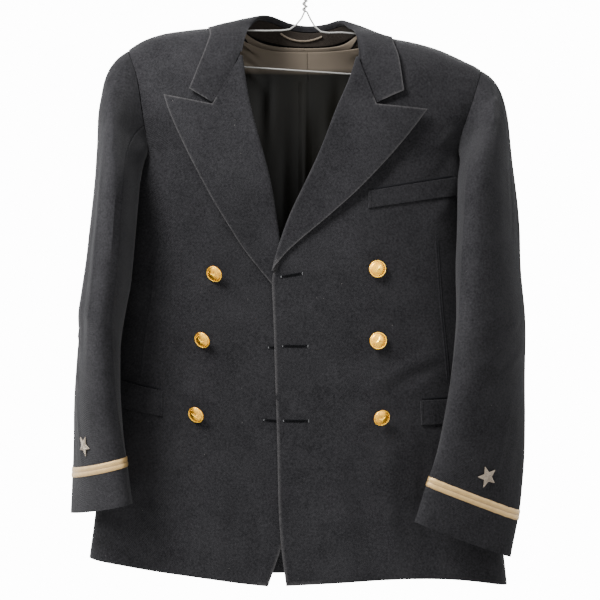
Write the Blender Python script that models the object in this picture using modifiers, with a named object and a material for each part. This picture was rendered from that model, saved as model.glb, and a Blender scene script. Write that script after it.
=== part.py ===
"""A naval officer's double-breasted jacket, hung on a thin wire hanger.

Sizes are in millimetres and become metres when a mesh is made. x runs to the wearer's left,
y to the back and z up. Heights are measured from the front hem, and the finished objects are
lowered so that the inside of the hanger's hook is at the origin.
"""
import math

import bmesh
import bpy
import numpy as np
from mathutils import Vector

MM = 0.001
COLLECTION = "naval_officer_jacket"

# Cloth and seams
CLOTH = 2.0
LINING = 1.0
LACE = 1.0
SEAM = 0.3
RESTING = 1.2          # how far cloth that only lies on other cloth stays off it
ROLL = 3.0             # outer radius of the rolled edge of collar and lapels

# Body
UNDERARM = 548.0       # height of the armhole's lowest point
BLUNT = 0.8            # below 1 makes the front and back flatter than an ellipse
SHOULDER_POWER = {"front": 2.6, "back": 5.0}   # above 2 keeps the cloth full up to the shoulder

# Hardware
BUTTON_ACROSS = 22.2
LACE_WIDTH = 12.7
LACE_ABOVE_CUFF = 46.0
STAR_ACROSS = 25.4
WIRE = 1.15            # radius of the hanger's wire
HOOK_TOP = 823.0       # height of the inside of the hook, which becomes the origin


class Table:
    """A short table with named columns, read smoothly between its rows."""

    def __init__(self, columns, rows):
        names = columns.split()
        data = np.array(rows, float)
        self.key = data[:, 0]
        self.columns = {name: data[:, i] for i, name in enumerate(names)}
        self.slopes = {name: np.gradient(data[:, i], self.key) for i, name in enumerate(names)}

    def at(self, key, column):
        key = min(max(key, self.key[0]), self.key[-1])
        i = int(min(max(np.searchsorted(self.key, key) - 1, 0), len(self.key) - 2))
        span = self.key[i + 1] - self.key[i]
        f = (key - self.key[i]) / span
        value, slope = self.columns[column], self.slopes[column]
        rise = value[i + 1] - value[i]
        start, end = slope[i] * span - rise, rise - slope[i + 1] * span
        return value[i] + f * rise + f * (1 - f) * (start * (1 - f) + end * f)


# The body from the front and from the side: where its sides are, and how far it stands out
BODY = Table("z right left front back", [
    (-20, -285, 265, 60, 52),
    (30, -281, 260, 60, 53),
    (90, -273, 253, 60, 54),
    (160, -264, 245, 61, 55),
    (260, -250, 233, 63, 56),
    (360, -236, 222, 65, 56),
    (465, -225, 211, 67, 56),
    (520, -214, 205, 67, 58),
    (548, -208, 202, 67, 60),
    (568, -215, 210, 66, 62),
    (585, -225, 222, 66, 64),
    (605, -236, 237, 65, 66),
    (650, -245, 254, 64, 70),
    (690, -258, 265, 64, 72),
    (740, -262, 268, 64, 72),
])

# The shoulder line, which carries on across the neck
SHOULDER = Table("x z", [
    (-262, 668), (-245, 679), (-231, 690), (-209, 704), (-189, 711), (-150, 717), (-111, 720),
    (-84, 720), (0, 718), (72, 715), (104, 708), (144, 700), (183, 688), (202, 679), (229, 665),
    (250, 648), (268, 632),
])

# How far round the body each armhole cuts, as an angle from the middle of the front or back
ARMHOLE = Table("z angle", [
    (548, 90), (552, 84), (558, 77), (568, 71), (585, 66), (605, 62.5), (650, 62), (700, 63.6),
])

HEM = Table("x z", [
    (-285, 30), (-196, 18), (-134, 11), (-78, 3), (-47, 0), (-23, 1), (33, 4), (101, 8), (159, 8),
    (211, 4), (265, -6),
])

# The inner edges of the two fronts: the overlap's edge below, the lapel's roll line above
EDGE_LEFT = Table("z x", [
    (-10, -23), (1, -24), (25, -27), (49, -31), (98, -34), (175, -35), (262, -38), (363, -41),
    (398, -43), (410, -42), (428, -36), (476, -19), (517, 1), (563, 22), (609, 39), (647, 56),
    (684, 66), (707, 68), (720, 69),
])
EDGE_RIGHT = Table("z x", [
    (-10, -50), (1, -47), (29, -37), (46, -31), (100, -14), (180, 8), (260, 26), (330, 30), (372, 6),
    (390, -17), (402, -24.5), (414, -26.5), (428, -29), (446, -32), (472, -36), (511, -42), (544, -50),
    (589, -63), (622, -71), (660, -77), (682, -80), (700, -82), (720, -83),
])
BREAK = 402.0          # where the lapels start to roll
TUCK_WIDTH = 85.0      # how wide, and how far, the right front sinks below the left one and its lapel
TUCK_DEPTH = 2.6
LAPEL_TUCK = 4.6

# Soft folds in the body cloth: a ridge is positive, a trough negative
FOLDS = [
    # face, x0, z0, x1, z1, width, height
    ("front", 182, 290, 112, 252, 17, 4.0),
    ("front", 176, 268, 120, 236, 12, -2.5),
    ("front", -142, 258, -126, 238, 9, 2.5),
    ("front", -150, 520, -120, 440, 18, -2.5),
    ("front", -205, 560, -176, 470, 16, 3.0),
    ("front", 178, 470, 196, 540, 16, 3.0),
    ("front", 30, 150, 60, 10, 30, 3.5),
    ("front", 150, 160, 176, 0, 26, -3.0),
    ("front", -120, 150, -150, 10, 28, 3.5),
    ("front", -205, 180, -230, 30, 24, -3.0),
    ("back", -60, 400, -110, 20, 30, 4.0),
    ("back", 40, 330, 70, 10, 26, 4.0),
    ("back", 120, 430, 165, 20, 24, -4.0),
    ("back", -170, 420, -205, 30, 24, -3.5),
    ("back", -20, 250, -10, 10, 18, -3.0),
    ("back", -150, 610, -180, 500, 18, 3.5),
    ("back", 145, 600, 176, 490, 18, 3.5),
]

# Sleeves: centre and half sizes of each ring, how far it is turned and how its outer side drops
SLEEVE_LEFT = Table("station z x y long short turn slope", [
    (0, 520, 235.5, -30, 80, 32, 16, 0.15),
    (1, 460, 238.5, -40, 78, 34, 22, 0.0),
    (2, 400, 237.0, -49, 75, 36, 24, 0.0),
    (3, 330, 236.5, -57, 72, 37, 30, -0.05),
    (4, 267, 233.0, -62, 70, 35, 38, -0.15),
    (5, 200, 229.0, -65, 68, 30, 50, -0.30),
    (6, 150, 222.0, -67, 67, 26, 58, -0.38),
    (7, 100, 210.5, -68, 66, 22, 68, -0.40),
    (8, 61.5, 200.5, -69, 67, 20, 70, -0.40),
])
SLEEVE_RIGHT = Table("station z x y long short turn slope", [
    (0, 510, -245, -34, 84, 25, 6, 0.15),
    (1, 427, -253, -43, 80, 27, 8, 0.0),
    (2, 380, -257, -50, 77, 28, 8, 0.0),
    (3, 336, -261, -54, 75, 27, 8, 0.0),
    (4, 265, -264, -58, 73, 28, 14, -0.05),
    (5, 226, -264, -60, 71, 28, 18, -0.12),
    (6, 176, -262, -62, 69, 26, 25, -0.24),
    (7, 130, -260, -64, 67, 24, 34, -0.27),
    (8, 101, -259, -64, 67, 23, 37, -0.24),
])
SLEEVE_FOLDS = {
    # station, angle round the sleeve, how many stations and degrees it spreads, height
    "left": [
        (2.9, 70, 0.35, 60, 3.5),
        (3.5, 40, 0.3, 50, -3.5),
        (1.6, 110, 0.5, 35, -3.0),
        (5.2, 30, 0.5, 30, 2.5),
        (2.4, 200, 0.4, 60, -4.0),
        (3.3, 215, 0.3, 60, 3.5),
    ],
    "right": [
        (2.8, 90, 0.3, 50, 3.5),
        (3.3, 60, 0.25, 50, -3.5),
        (1.3, 100, 0.6, 30, -2.5),
        (4.6, 40, 0.5, 30, 2.0),
        (2.2, 200, 0.4, 60, -4.0),
        (3.0, 215, 0.3, 60, 3.5),
    ],
}

# The collar, from the wearer's right gorge round the neck to the left: its roll, outer edge and seam
COLLAR = Table("station roll_x roll_y roll_z edge_x edge_y edge_z seam_x seam_y seam_z", [
    (0, -80, -31, 678, -149, -42, 640, -83, -25, 684),
    (1, -76, -22, 700, -139, -32, 668, -86, -14, 704),
    (2, -70, -10, 721, -131, -16, 698, -86, -3, 716),
    (3, -58, 4, 737, -122, 10, 719, -82, 12, 716),
    (4, -42, 25, 740, -98, 44, 706, -66, 34, 710),
    (5, -20, 42, 733, -50, 66, 690, -32, 46, 705),
    (6, 6, 48, 730, 4, 70, 686, 4, 48, 703),
    (7, 28, 40, 732, 54, 64, 688, 38, 44, 704),
    (8, 44, 24, 735, 90, 42, 700, 60, 30, 708),
    (9, 52, 6, 730, 106, 12, 710, 70, 10, 713),
    (10, 60, -9, 714, 114, -12, 697, 74, -4, 711),
    (11, 65, -19, 698, 122, -26, 672, 73, -15, 701),
    (12, 67, -29, 680, 129, -40, 640, 71, -25, 687),
])

# Lapel corners seen from the front: roll end at the gorge, notch, peak, then points down its edge
LAPEL_RIGHT = {
    "gorge": (-83, 677), "notch": (-117, 614), "peak": (-178, 627), "collar_tip": (-152, 637),
    "edge": [(-178, 627), (-172, 607), (-150, 558), (-117, 494), (-78, 428), (-44, 387), (-39, 381)],
}
LAPEL_LEFT = {
    "gorge": (67, 675), "notch": (90, 614), "peak": (154, 608), "collar_tip": (131, 635),
    "edge": [(154, 608), (141, 590), (119, 562), (90, 529), (62, 500), (19, 462), (-19, 431), (-38, 408)],
}
GORGE_DROP = 0.8       # how far the lapel's top edge stays below the collar
TUCKED_LAPEL_LIFT = 0.8

# Flat pieces on the fronts: four corners, seen from the front, from the upper inner one round
WELTS = {
    "breast_welt": [(80, 503), (192, 522), (197, 499), (80, 481)],
    "hip_welt_left": [(147, 236), (214, 239), (211, 207), (148, 205)],
    "hip_welt_right": [(-182, 248), (-237, 260), (-238, 226), (-182, 216)],
}
WELT_CLOTH = 1.6

BUTTONS = {
    # x, z, tilt about x, tilt about z in degrees, how far the cloth lets it sink
    "button_right_1": (-113, 400, 12, -10, 0.5),
    "button_right_2": (-128, 316, 14, -10, 0.0),
    "button_right_3": (-136, 221, 10, -8, -0.2),
    "button_left_1": (91, 404, 0, 3, 0.0),
    "button_left_2": (92, 313, 0, 3, 0.0),
    "button_left_3": (95, 216, -16, 4, 0.0),
}

COLOURS = {
    # red, green, blue, roughness, metallic
    "cloth": (0.028, 0.029, 0.035, 0.9, 0.0),
    "lining": (0.045, 0.04, 0.032, 0.45, 0.0),
    "lace": (0.62, 0.46, 0.25, 0.45, 0.6),
    "star": (0.42, 0.37, 0.31, 0.5, 0.5),
    "gilt": (0.85, 0.58, 0.2, 0.25, 1.0),
    "wire": (0.66, 0.66, 0.64, 0.35, 0.9),
    "loop": (0.35, 0.26, 0.16, 0.8, 0.0),
}


def smooth(value, low, high):
    """0 below low, 1 above high, and soft in between."""
    f = min(max((value - low) / (high - low), 0.0), 1.0)
    return f * f * (3 - 2 * f)


def unit(vector):
    return vector / max(np.linalg.norm(vector), 1e-9)


def finish(name):
    """The material of one kind of piece."""
    found = bpy.data.materials.get(name)
    if found:
        return found
    red, green, blue, roughness, metallic = COLOURS[name]
    made = bpy.data.materials.new(name)
    made.use_nodes = True
    shader = made.node_tree.nodes["Principled BSDF"]
    shader.inputs["Base Color"].default_value = (red, green, blue, 1)
    shader.inputs["Roughness"].default_value = roughness
    shader.inputs["Metallic"].default_value = metallic
    return made


def add_object(name, data, kind):
    data.materials.append(finish(kind))
    thing = bpy.data.objects.new(name, data)
    bpy.data.collections[COLLECTION].objects.link(thing)
    return thing


def placed(point):
    """A point of the jacket's own frame in metres below the hook."""
    return Vector((point[0], point[1], point[2] - HOOK_TOP)) * MM


def add_wall(name, kind, outer, normals, thickness, wrap=False, clear=None):
    """Give a grid of outer points its thickness inwards and close it.

    wrap joins its last column to its first, and clear keeps both skins that far off the body.
    """
    rows, columns = len(outer), len(outer[0])
    maker = bmesh.new()

    def corner(point):
        return maker.verts.new(placed(point if clear is None else stand_off(point, clear)))

    skins = [[[corner(outer[r][c] - normals[r][c] * deep) for c in range(columns)]
              for r in range(rows)] for deep in (0.0, thickness)]
    last = columns if wrap else columns - 1

    def strip(a, b, c, d):
        maker.faces.new((a, b, c))
        maker.faces.new((a, c, d))

    for skin_grid in skins:
        for r in range(rows - 1):
            for c in range(last):
                n = (c + 1) % columns
                strip(skin_grid[r][c], skin_grid[r][n], skin_grid[r + 1][n], skin_grid[r + 1][c])
    top, under = skins
    for r in (0, rows - 1):
        for c in range(last):
            n = (c + 1) % columns
            strip(top[r][c], top[r][n], under[r][n], under[r][c])
    if not wrap:
        for c in (0, columns - 1):
            for r in range(rows - 1):
                strip(top[r][c], top[r + 1][c], under[r + 1][c], under[r][c])
    bmesh.ops.recalc_face_normals(maker, faces=maker.faces)
    mesh = bpy.data.meshes.new(name)
    maker.to_mesh(mesh)
    maker.free()
    mesh.shade_smooth()
    mesh.set_sharp_from_angle(angle=math.radians(40))
    return add_object(name, mesh, kind)


def eased(grid, first_row=0.0, last_row=0.0, first_column=0.0, last_column=0.0):
    """Draw the chosen edges of a grid back towards their neighbours, for the gap at a seam."""
    grid = [[point.copy() for point in row] for row in grid]
    for r in range(len(grid)):
        for c, n, gap in ((0, 1, first_column), (-1, -2, last_column)):
            grid[r][c] += unit(grid[r][n] - grid[r][c]) * gap
    for c in range(len(grid[0])):
        for r, n, gap in ((0, 1, first_row), (-1, -2, last_row)):
            grid[r][c] += unit(grid[n][c] - grid[r][c]) * gap
    return grid


def grid_normals(grid, sign):
    """Normals of a grid from its own points."""
    rows, columns = len(grid), len(grid[0])
    result = []
    for r in range(rows):
        line = []
        for c in range(columns):
            across = grid[r][min(c + 1, columns - 1)] - grid[r][max(c - 1, 0)]
            along = grid[min(r + 1, rows - 1)][c] - grid[max(r - 1, 0)][c]
            line.append(unit(np.cross(across, along)) * sign)
        result.append(line)
    return result


# The body's shape

def sides(z):
    """Middle and half width of the body at a height."""
    left, right = BODY.at(z, "left"), BODY.at(z, "right")
    return (left + right) / 2, (left - right) / 2


def fold(x, z, face):
    """How far the folds stand out at a point seen from the front."""
    total = 0.0
    for where, x0, z0, x1, z1, width, height in FOLDS:
        if where != face:
            continue
        start, run = np.array((x0, z0), float), np.array((x1 - x0, z1 - z0), float)
        f = min(max(np.dot((x, z) - start, run) / np.dot(run, run), 0.0), 1.0)
        away = np.linalg.norm((x, z) - start - run * f)
        total += height * math.exp(-(away / width) ** 2)
    return total


def tuck_under(x, z):
    """How far the wearer's right front sinks to pass under the left one, and under its lapel too."""
    edge = EDGE_LEFT.at(z, "x")
    near = smooth(x, edge - TUCK_WIDTH, edge - 12)
    lapel = smooth(z, BREAK - 102, BREAK - 40) * (1 - smooth(z, BREAK + 50, BREAK + 113))
    return near * (1 - smooth(z, BREAK + 60, BREAK + 128)) * (TUCK_DEPTH + LAPEL_TUCK * lapel)


def depth(x, z, face):
    """How far the cloth stands forward or back of the side seams; below 0 outside the body's outline."""
    middle, half = sides(z)
    across = 1 - ((x - middle) / half) ** 2
    rise = max((z - UNDERARM) / (SHOULDER.at(x, "z") - UNDERARM), 0.0)
    up = 1 - rise ** SHOULDER_POWER[face]
    if across <= 0 or up <= 0:
        return 100 * (min(across, 0.0) + min(up, 0.0))
    return BODY.at(z, face) * across ** (BLUNT / 2) * math.sqrt(up) + \
        fold(x, z, face) * math.sqrt(up) * min(1.0, 3 * across)


def on_front(x, z, lift=0.0, tucked=False):
    """A point on the front cloth, moved out along the cloth's normal."""
    step = 1.0

    def reach(u, v):
        return depth(u, v, "front") - (tuck_under(u, v) if tucked else 0.0)

    slope_x = (reach(x + step, z) - reach(x - step, z)) / (2 * step)
    slope_z = (reach(x, z + step) - reach(x, z - step)) / (2 * step)
    normal = unit(np.array((-slope_x, -1.0, -slope_z)))
    return np.array((x, -reach(x, z), z)) + normal * lift


def gap_to_body(point):
    """Rough distance from a point to the body's outer side, and the way out."""
    def outside(p):
        return abs(p[1]) - depth(p[0], p[2], "front" if p[1] < 0 else "back")

    step = 0.6
    way = np.array([(outside(point + d) - outside(point - d)) / (2 * step) for d in np.eye(3) * step])
    size = max(np.linalg.norm(way), 1e-6)
    return outside(point) / size, way / size


def stand_off(point, gap, exact=False):
    """Move a point out until it clears the body by a gap, or to exactly that gap."""
    point = np.array(point, float)
    for _ in range(14):
        distance, way = gap_to_body(point)
        if distance >= gap and not exact:
            break
        point = point + way * min(max(gap - distance, -3.0), 3.0) * 0.8
    return point


def height(x, rise):
    """Height of a body row: 0 at the hem, 1 at the underarm, 2 on the shoulder line."""
    if rise <= 1:
        hem = HEM.at(x, "z")
        return hem + (UNDERARM - hem) * rise
    return UNDERARM + (SHOULDER.at(x, "z") - UNDERARM) * math.sin((rise - 1) * math.pi / 2)


def skin(turn, rise, tucked=False):
    """A point of the body cloth: turn in degrees round from the front's middle, rise up from the hem."""
    face = "front" if abs(turn) <= 90 else "back"
    if rise > 2:
        rise = 4 - rise
        face = "back" if face == "front" else "front"
    x = 0.0
    for _ in range(8):
        z = height(x, rise)
        middle, half = sides(z)
        x = middle + half * math.sin(math.radians(turn))
    y = depth(x, z, face) if rise < 2 else 0.0
    if tucked:
        y -= tuck_under(x, z)
    return np.array((x, -y if face == "front" else y, z))


def skin_normal(turn, rise, tucked=False):
    """Outward normal of the body cloth, the same on both sides of a seam."""
    low = max(rise - 0.01, 0.0)
    across = skin(turn + 0.5, rise, tucked) - skin(turn - 0.5, rise, tucked)
    along = skin(turn, rise + 0.01, tucked) - skin(turn, low, tucked)
    return unit(np.cross(across, along))


def turn_at(x, z):
    middle, half = sides(z)
    return math.degrees(math.asin(min(max((x - middle) / half, -1.0), 1.0)))


def armhole_turn(rise, sign):
    """How far round from the front's middle the armhole is on one row."""
    angle = 90.0
    for _ in range(8):
        angle = ARMHOLE.at(skin(sign * angle, rise)[2], "angle")
    return angle


GORGE_LOW, GORGE_HIGH = 680, 705    # over these heights the front goes from lapel roll to collar
LOWER_ROWS = (0, 0.08, 0.17, 0.26, 0.35, 0.44, 0.53, 0.61, 0.67, 0.7195, 0.7335, 0.8, 0.87, 0.94, 1)
UPPER_ROWS = (0.06, 0.17, 0.32, 0.5, 0.67, 0.81, 0.91, 0.97, 1.0)
RISES = LOWER_ROWS + tuple(1 + math.asin(t) * 2 / math.pi for t in UPPER_ROWS)


def front(name, sign, edge, tucked):
    """One front, from its inner edge round to the side seam and the armhole."""
    columns = 13
    points, normals = [], []
    for rise in RISES:
        x = 0.0
        for _ in range(8):
            z = height(x, rise)
            rolled = smooth(z, BREAK - 7, BREAK) * (1 - smooth(z, GORGE_LOW, GORGE_HIGH))
            x = edge.at(z, "x") + sign * (ROLL + RESTING + SEAM) * rolled
        inner = turn_at(x, z)
        outer = sign * (90 if rise <= 1 else armhole_turn(rise, sign))
        turns = [inner + (outer - inner) * c / (columns - 1) for c in range(columns)]
        points.append([skin(t, rise, tucked) for t in turns])
        normals.append([skin_normal(t, rise, tucked) for t in turns])
    points = eased(points, last_row=SEAM / 2, last_column=SEAM / 2)
    return add_wall(name, "cloth", points, normals, CLOTH)


NECK_SEAM = Table("x z", [
    (-86, 718), (-80, 713), (-66, 707), (-40, 702), (0, 700), (35, 701), (55, 704), (68, 709), (73, 714),
])
NECK_RIGHT = -86.0     # where the shoulder seams meet the collar
NECK_LEFT = 73.0


def neck_rise(x):
    """How high a back column goes: to the shoulder line, or to the neck seam under the collar."""
    if not NECK_RIGHT < x < NECK_LEFT:
        return 2.0
    up = (NECK_SEAM.at(x, "z") - UNDERARM) / (SHOULDER.at(x, "z") - UNDERARM)
    return 1 + math.asin(min(up, 1.0)) * 2 / math.pi


def neck_level(x, rise):
    """A row's rise where it ends at the neck seam and not at the shoulder line."""
    return rise if rise <= 1 else 1 + (rise - 1) * (neck_rise(x) - 1)


def back(name, sign, neck_x):
    """One half of the back, from the centre seam round to the side seam and the armhole."""
    inner_columns, outer_columns = 4, 6
    points, normals = [], []
    for rise in RISES:
        outer = 90 if rise <= 1 else armhole_turn(rise, sign)
        at_neck = sign * turn_at(neck_x, height(neck_x, rise))
        centre = sign * turn_at(0.0, height(0.0, neck_level(0.0, rise)))
        line, line_normals = [], []
        for c in range(inner_columns + outer_columns + 1):
            if c <= inner_columns:
                angle = centre + (at_neck - centre) * c / inner_columns
            else:
                angle = at_neck + (outer - at_neck) * (c - inner_columns) / outer_columns
            x = skin(sign * (180 - angle), rise)[0]
            level = neck_level(x, rise) if 0 < c < inner_columns else rise
            if c == 0:
                level = neck_level(0.0, rise)
            line.append(skin(sign * (180 - angle), level))
            line_normals.append(skin_normal(sign * (180 - angle), level))
        points.append(line)
        normals.append(line_normals)
    points = eased(points, last_row=SEAM / 2, first_column=SEAM / 2, last_column=SEAM / 2)
    return add_wall(name, "cloth", points, normals, CLOTH)


# Lapels

def polyline(points, f):
    """A point part of the way along a line of points, by length."""
    points = [np.array(p, float) for p in points]
    lengths = [np.linalg.norm(b - a) for a, b in zip(points, points[1:])]
    want = f * sum(lengths)
    for a, b, length in zip(points, points[1:], lengths):
        if want <= length:
            return a + (b - a) * want / length
        want -= length
    return points[-1]


def by_way_of(start, middle, end, f):
    """A point on the two straight lines from start to middle to end, which it passes half way."""
    if f <= 0.5:
        return start + (middle - start) * 2 * f
    return middle + (end - middle) * (2 * f - 1)


def lapel(name, sign, edge, corners, start, tucked):
    """A lapel folded back over its front, with a rolled edge along the roll line."""
    rows, columns, bends = 14, 9, 4
    gorge, notch, peak = (np.array(corners[k], float) for k in ("gorge", "notch", "peak"))
    outer_edge = corners["edge"][::-1]
    bottom_end = polyline(outer_edge, 0)
    corner = np.array((edge.at(gorge[1], "x") + sign * ROLL, gorge[1]))
    bottom_first = np.array((edge.at(start, "x") + sign * ROLL, start))
    rest = CLOTH + RESTING + (TUCKED_LAPEL_LIFT if tucked else 0.0)
    points = []
    for r in range(rows):
        v = r / (rows - 1)
        z_roll = start + (gorge[1] - start) * v
        roll_x = edge.at(z_roll, "x")
        right = polyline(outer_edge, v)
        line = []
        for b in range(bends):
            bend = math.radians(-90 + 180 * b / bends)
            x = roll_x + sign * ROLL * (1 - math.cos(bend))
            point = on_front(x, z_roll, ROLL - CLOTH + ROLL * math.sin(bend), tucked)
            line.append(point - np.array((0, 0, GORGE_DROP * v)))
        first = np.array((roll_x + sign * ROLL, z_roll))
        for c in range(columns):
            u = c / (columns - 1)
            top = by_way_of(corner, notch, peak, u)
            low = bottom_first + (bottom_end - bottom_first) * u
            flat = (1 - u) * first + u * right + (1 - v) * low + v * top
            flat = flat - (1 - v) * ((1 - u) * bottom_first + u * bottom_end)
            flat = flat - v * ((1 - u) * corner + u * peak) - np.array((0.0, GORGE_DROP * v))
            fullness = math.exp(-np.linalg.norm(flat - first) / 12)
            lift = rest + max(2 * ROLL - CLOTH - rest, 0.0) * fullness
            line.append(on_front(flat[0], flat[1], lift, tucked))
        points.append(line)
    return add_wall(name, "cloth", points, grid_normals(points, sign), CLOTH)


# Collar

def collar_frame(v):
    """The roll, the outer edge and the seam of the collar at a station, and its own directions."""
    roll, edge, seam = (np.array([COLLAR.at(v, f"{part}_{axis}") for axis in "xyz"])
                        for part in ("roll", "edge", "seam"))
    step = 0.05
    ahead = np.array([COLLAR.at(v + step, f"roll_{axis}") - COLLAR.at(v - step, f"roll_{axis}")
                      for axis in "xyz"])
    edge = stand_off(edge, CLOTH + SEAM, exact=True)
    upward = unit(roll - edge)
    outward = unit(np.cross(upward, ahead))
    upward = unit(np.cross(ahead, outward))
    return roll, edge, seam, upward, outward


def gorge_bend(corners, s):
    """The collar's end seen from the front: along the gorge to the notch, then out to the tip."""
    return by_way_of(*(np.array(corners[k], float) for k in ("gorge", "notch", "collar_tip")), s)


def collar_roll(v):
    """Radius of the collar's rolled edge and the length of its inner lip, both less at the two ends."""
    middle = smooth(min(v, 12 - v), 0.4, 2.6)
    return ROLL - 0.8 * (1 - middle), 1.0 + 4.0 * middle


COLLAR_ENDS = ((0.0, LAPEL_RIGHT), (12.0, LAPEL_LEFT))


def collar_fall(name):
    """The collar's outer part: a short inner lip, the roll, and the fall down to the outer edge."""
    rows, columns, bends = 31, 8, 4
    end_reach = 2.4
    bulge = 2.5
    points = []
    for r in range(rows):
        v = 12 * r / (rows - 1)
        roll, edge, _, upward, outward = collar_frame(v)
        radius, lip = collar_roll(v)
        shoulder = roll - upward * radius
        centre = shoulder - outward * radius
        line = [centre - outward * radius - upward * lip]
        for b in range(bends):
            bend = math.radians(180 - 180 * b / bends)
            line.append(centre + (outward * math.cos(bend) + upward * math.sin(bend)) * radius)
        for c in range(columns):
            s = c / (columns - 1)
            point = shoulder + (edge - shoulder) * s
            for station, corners in COLLAR_ENDS:
                weight = max(1 - abs(v - station) / end_reach, 0.0) ** 2
                if weight and c:
                    end_roll, _, _, up, _ = collar_frame(station)
                    base = end_roll - up * collar_roll(station)[0]
                    end = np.array([COLLAR.at(station, f"edge_{axis}") for axis in "xz"])
                    straight = base[[0, 2]] * (1 - s) + end * s
                    shift = (gorge_bend(corners, s) - straight) * weight
                    point = point + np.array((shift[0], 0, shift[1]))
            point = point + outward * bulge * math.sin(math.pi * s)
            line.append(stand_off(point, CLOTH + RESTING) if c else point)
        points.append(line)
    return add_wall(name, "cloth", points, grid_normals(points, -1), CLOTH, clear=3 * SEAM)


def stand_point(v, s):
    """A point on the collar stand's inner face, from under the roll at 0 to the neck seam at 1."""
    roll, _, seam, upward, outward = collar_frame(v)
    radius, lip = collar_roll(v)
    top = roll - upward * (radius + lip + 4 * SEAM) - outward * 2 * radius
    return top + (stand_off(seam, 2 * SEAM, exact=True) - top) * s


def collar_stand(name):
    """The band inside the collar, from under its roll down to the neck seam."""
    rows, columns, start = 25, 3, 2.1
    points = []
    for r in range(rows):
        v = start + (12 - 2 * start) * r / (rows - 1)
        points.append([stand_point(v, c / (columns - 1)) for c in range(columns)])
    return add_wall(name, "cloth", points, grid_normals(points, 1), CLOTH, clear=2 * SEAM)


# Sleeves

SLEEVE_CLEAR = 2.5
HEAD_ROWS = (0.0, 0.12, 0.28, 0.5, 0.75)
TOP_SLEEVE = (-25.0, 205.0, 13)      # first and last angle, and columns
UNDER_SLEEVE = (205.0, 335.0, 8)
SIDES = {"left": (1, SLEEVE_LEFT), "right": (-1, SLEEVE_RIGHT)}


def armhole_point(sign, angle):
    """A point of the armhole: 0 at its front, 90 on the shoulder, 180 at its back, 270 under the arm."""
    tip = skin(sign * armhole_turn(2.0, sign), 2.0)[2]
    z = (tip + UNDERARM) / 2 + (tip - UNDERARM) / 2 * math.sin(math.radians(angle))
    middle, half = sides(z)
    x = middle + sign * half * math.sin(math.radians(ARMHOLE.at(z, "angle")))
    y = max(depth(x, z, "front" if math.cos(math.radians(angle)) > 0 else "back"), 0.0)
    return np.array((x + sign * 0.5, -y if math.cos(math.radians(angle)) > 0 else y, z))


def sleeve_ring(side, v, angle):
    sign, table = SIDES[side]
    x, y, z, long, short, turn, slope = (table.at(v, k) for k in "x y z long short turn slope".split())
    turn, angle = math.radians(turn), math.radians(angle)
    grow = 0.0
    for station, about, spread, degrees, rise in SLEEVE_FOLDS[side]:
        away = (math.degrees(angle) - about + 180) % 360 - 180
        grow += rise * math.exp(-((v - station) / spread) ** 2 - (away / degrees) ** 2)
    along, out = -(long + grow) * math.cos(angle), (short + grow) * math.sin(angle)
    dx = along * math.sin(turn) + out * math.cos(turn)
    dy = along * math.cos(turn) - out * math.sin(turn)
    return np.array((x + sign * dx, y + dy, z + slope * dx))


def sleeve_skin(side, v, angle):
    """A point of a sleeve: v is -1 at the armhole, 0 below the sleeve head and 8 at the cuff."""
    if v >= 0:
        return stand_off(sleeve_ring(side, v, angle), SLEEVE_CLEAR)
    sign = SIDES[side][0]
    f = v + 1
    start, end = armhole_point(sign, angle), stand_off(sleeve_ring(side, 0, angle), SLEEVE_CLEAR)
    size = np.linalg.norm(end - start)
    c, s = math.cos(math.radians(angle)), math.sin(math.radians(angle))
    leave = unit(np.array((sign * (0.85 + 0.3 * min(s, 0)), -0.55 * c, -0.3 + 0.6 * min(s, 0)))) * size
    arrive = unit(sleeve_ring(side, 0.3, angle) - sleeve_ring(side, 0, angle)) * size
    return ((1 + 2 * f) * (1 - f) ** 2) * start + (f * f * (3 - 2 * f)) * end + \
        f * (1 - f) ** 2 * leave * 0.9 - f * f * (1 - f) * arrive * 0.9


def sleeve_normal(side, v, angle):
    sign = SIDES[side][0]
    low, high = max(v - 0.03, -1.0), min(v + 0.03, 8.0)
    around = sleeve_skin(side, v, angle + 2) - sleeve_skin(side, v, angle - 2)
    along = sleeve_skin(side, high, angle) - sleeve_skin(side, low, angle)
    return unit(np.cross(along, around)) * sign


def station_at(side, z):
    """The station whose ring centre is at a height."""
    table = SIDES[side][1]
    low, high = 0.0, 8.0
    for _ in range(30):
        middle = (low + high) / 2
        if table.at(middle, "z") > z:
            low = middle
        else:
            high = middle
    return low


def cuff_stations(side):
    """Stations of the lace's lower and upper edges."""
    cuff = SIDES[side][1].at(8, "z")
    return [station_at(side, cuff + LACE_ABOVE_CUFF + up) for up in (0.0, LACE_WIDTH)]


def sleeve_rows(side):
    low, high = cuff_stations(side)
    regular = [0.0, 0.6, 1.2, 1.8, 2.35, 2.8, 3.2, 3.6, 4.2, 4.9, 5.6]
    between = [v for v in (6.3,) if v < high - 0.2]
    return [f - 1 for f in HEAD_ROWS] + regular + between + [high, low, 8.0]


def angles(span):
    first, last, count = span
    return [first + (last - first) * c / (count - 1) for c in range(count)]


def sleeve_panel(name, side, span):
    rows = sleeve_rows(side)
    points = [[sleeve_skin(side, v, a) for a in angles(span)] for v in rows]
    normals = [[sleeve_normal(side, v, a) for a in angles(span)] for v in rows]
    points = eased(points, first_column=SEAM / 2, last_column=SEAM / 2)
    return add_wall(name, "cloth", points, normals, CLOTH)


def lace_stripe(name, side):
    """Half-inch lace sewn round the cuff, on the sleeve's own points moved out."""
    around = angles(TOP_SLEEVE) + angles(UNDER_SLEEVE)[1:-1]
    points, normals = [], []
    for v in cuff_stations(side)[::-1]:
        normals.append([sleeve_normal(side, v, a) for a in around])
        points.append([sleeve_skin(side, v, a) + n * (SEAM + LACE) for a, n in zip(around, normals[-1])])
    return add_wall(name, "lace", points, normals, LACE, wrap=True)


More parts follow.
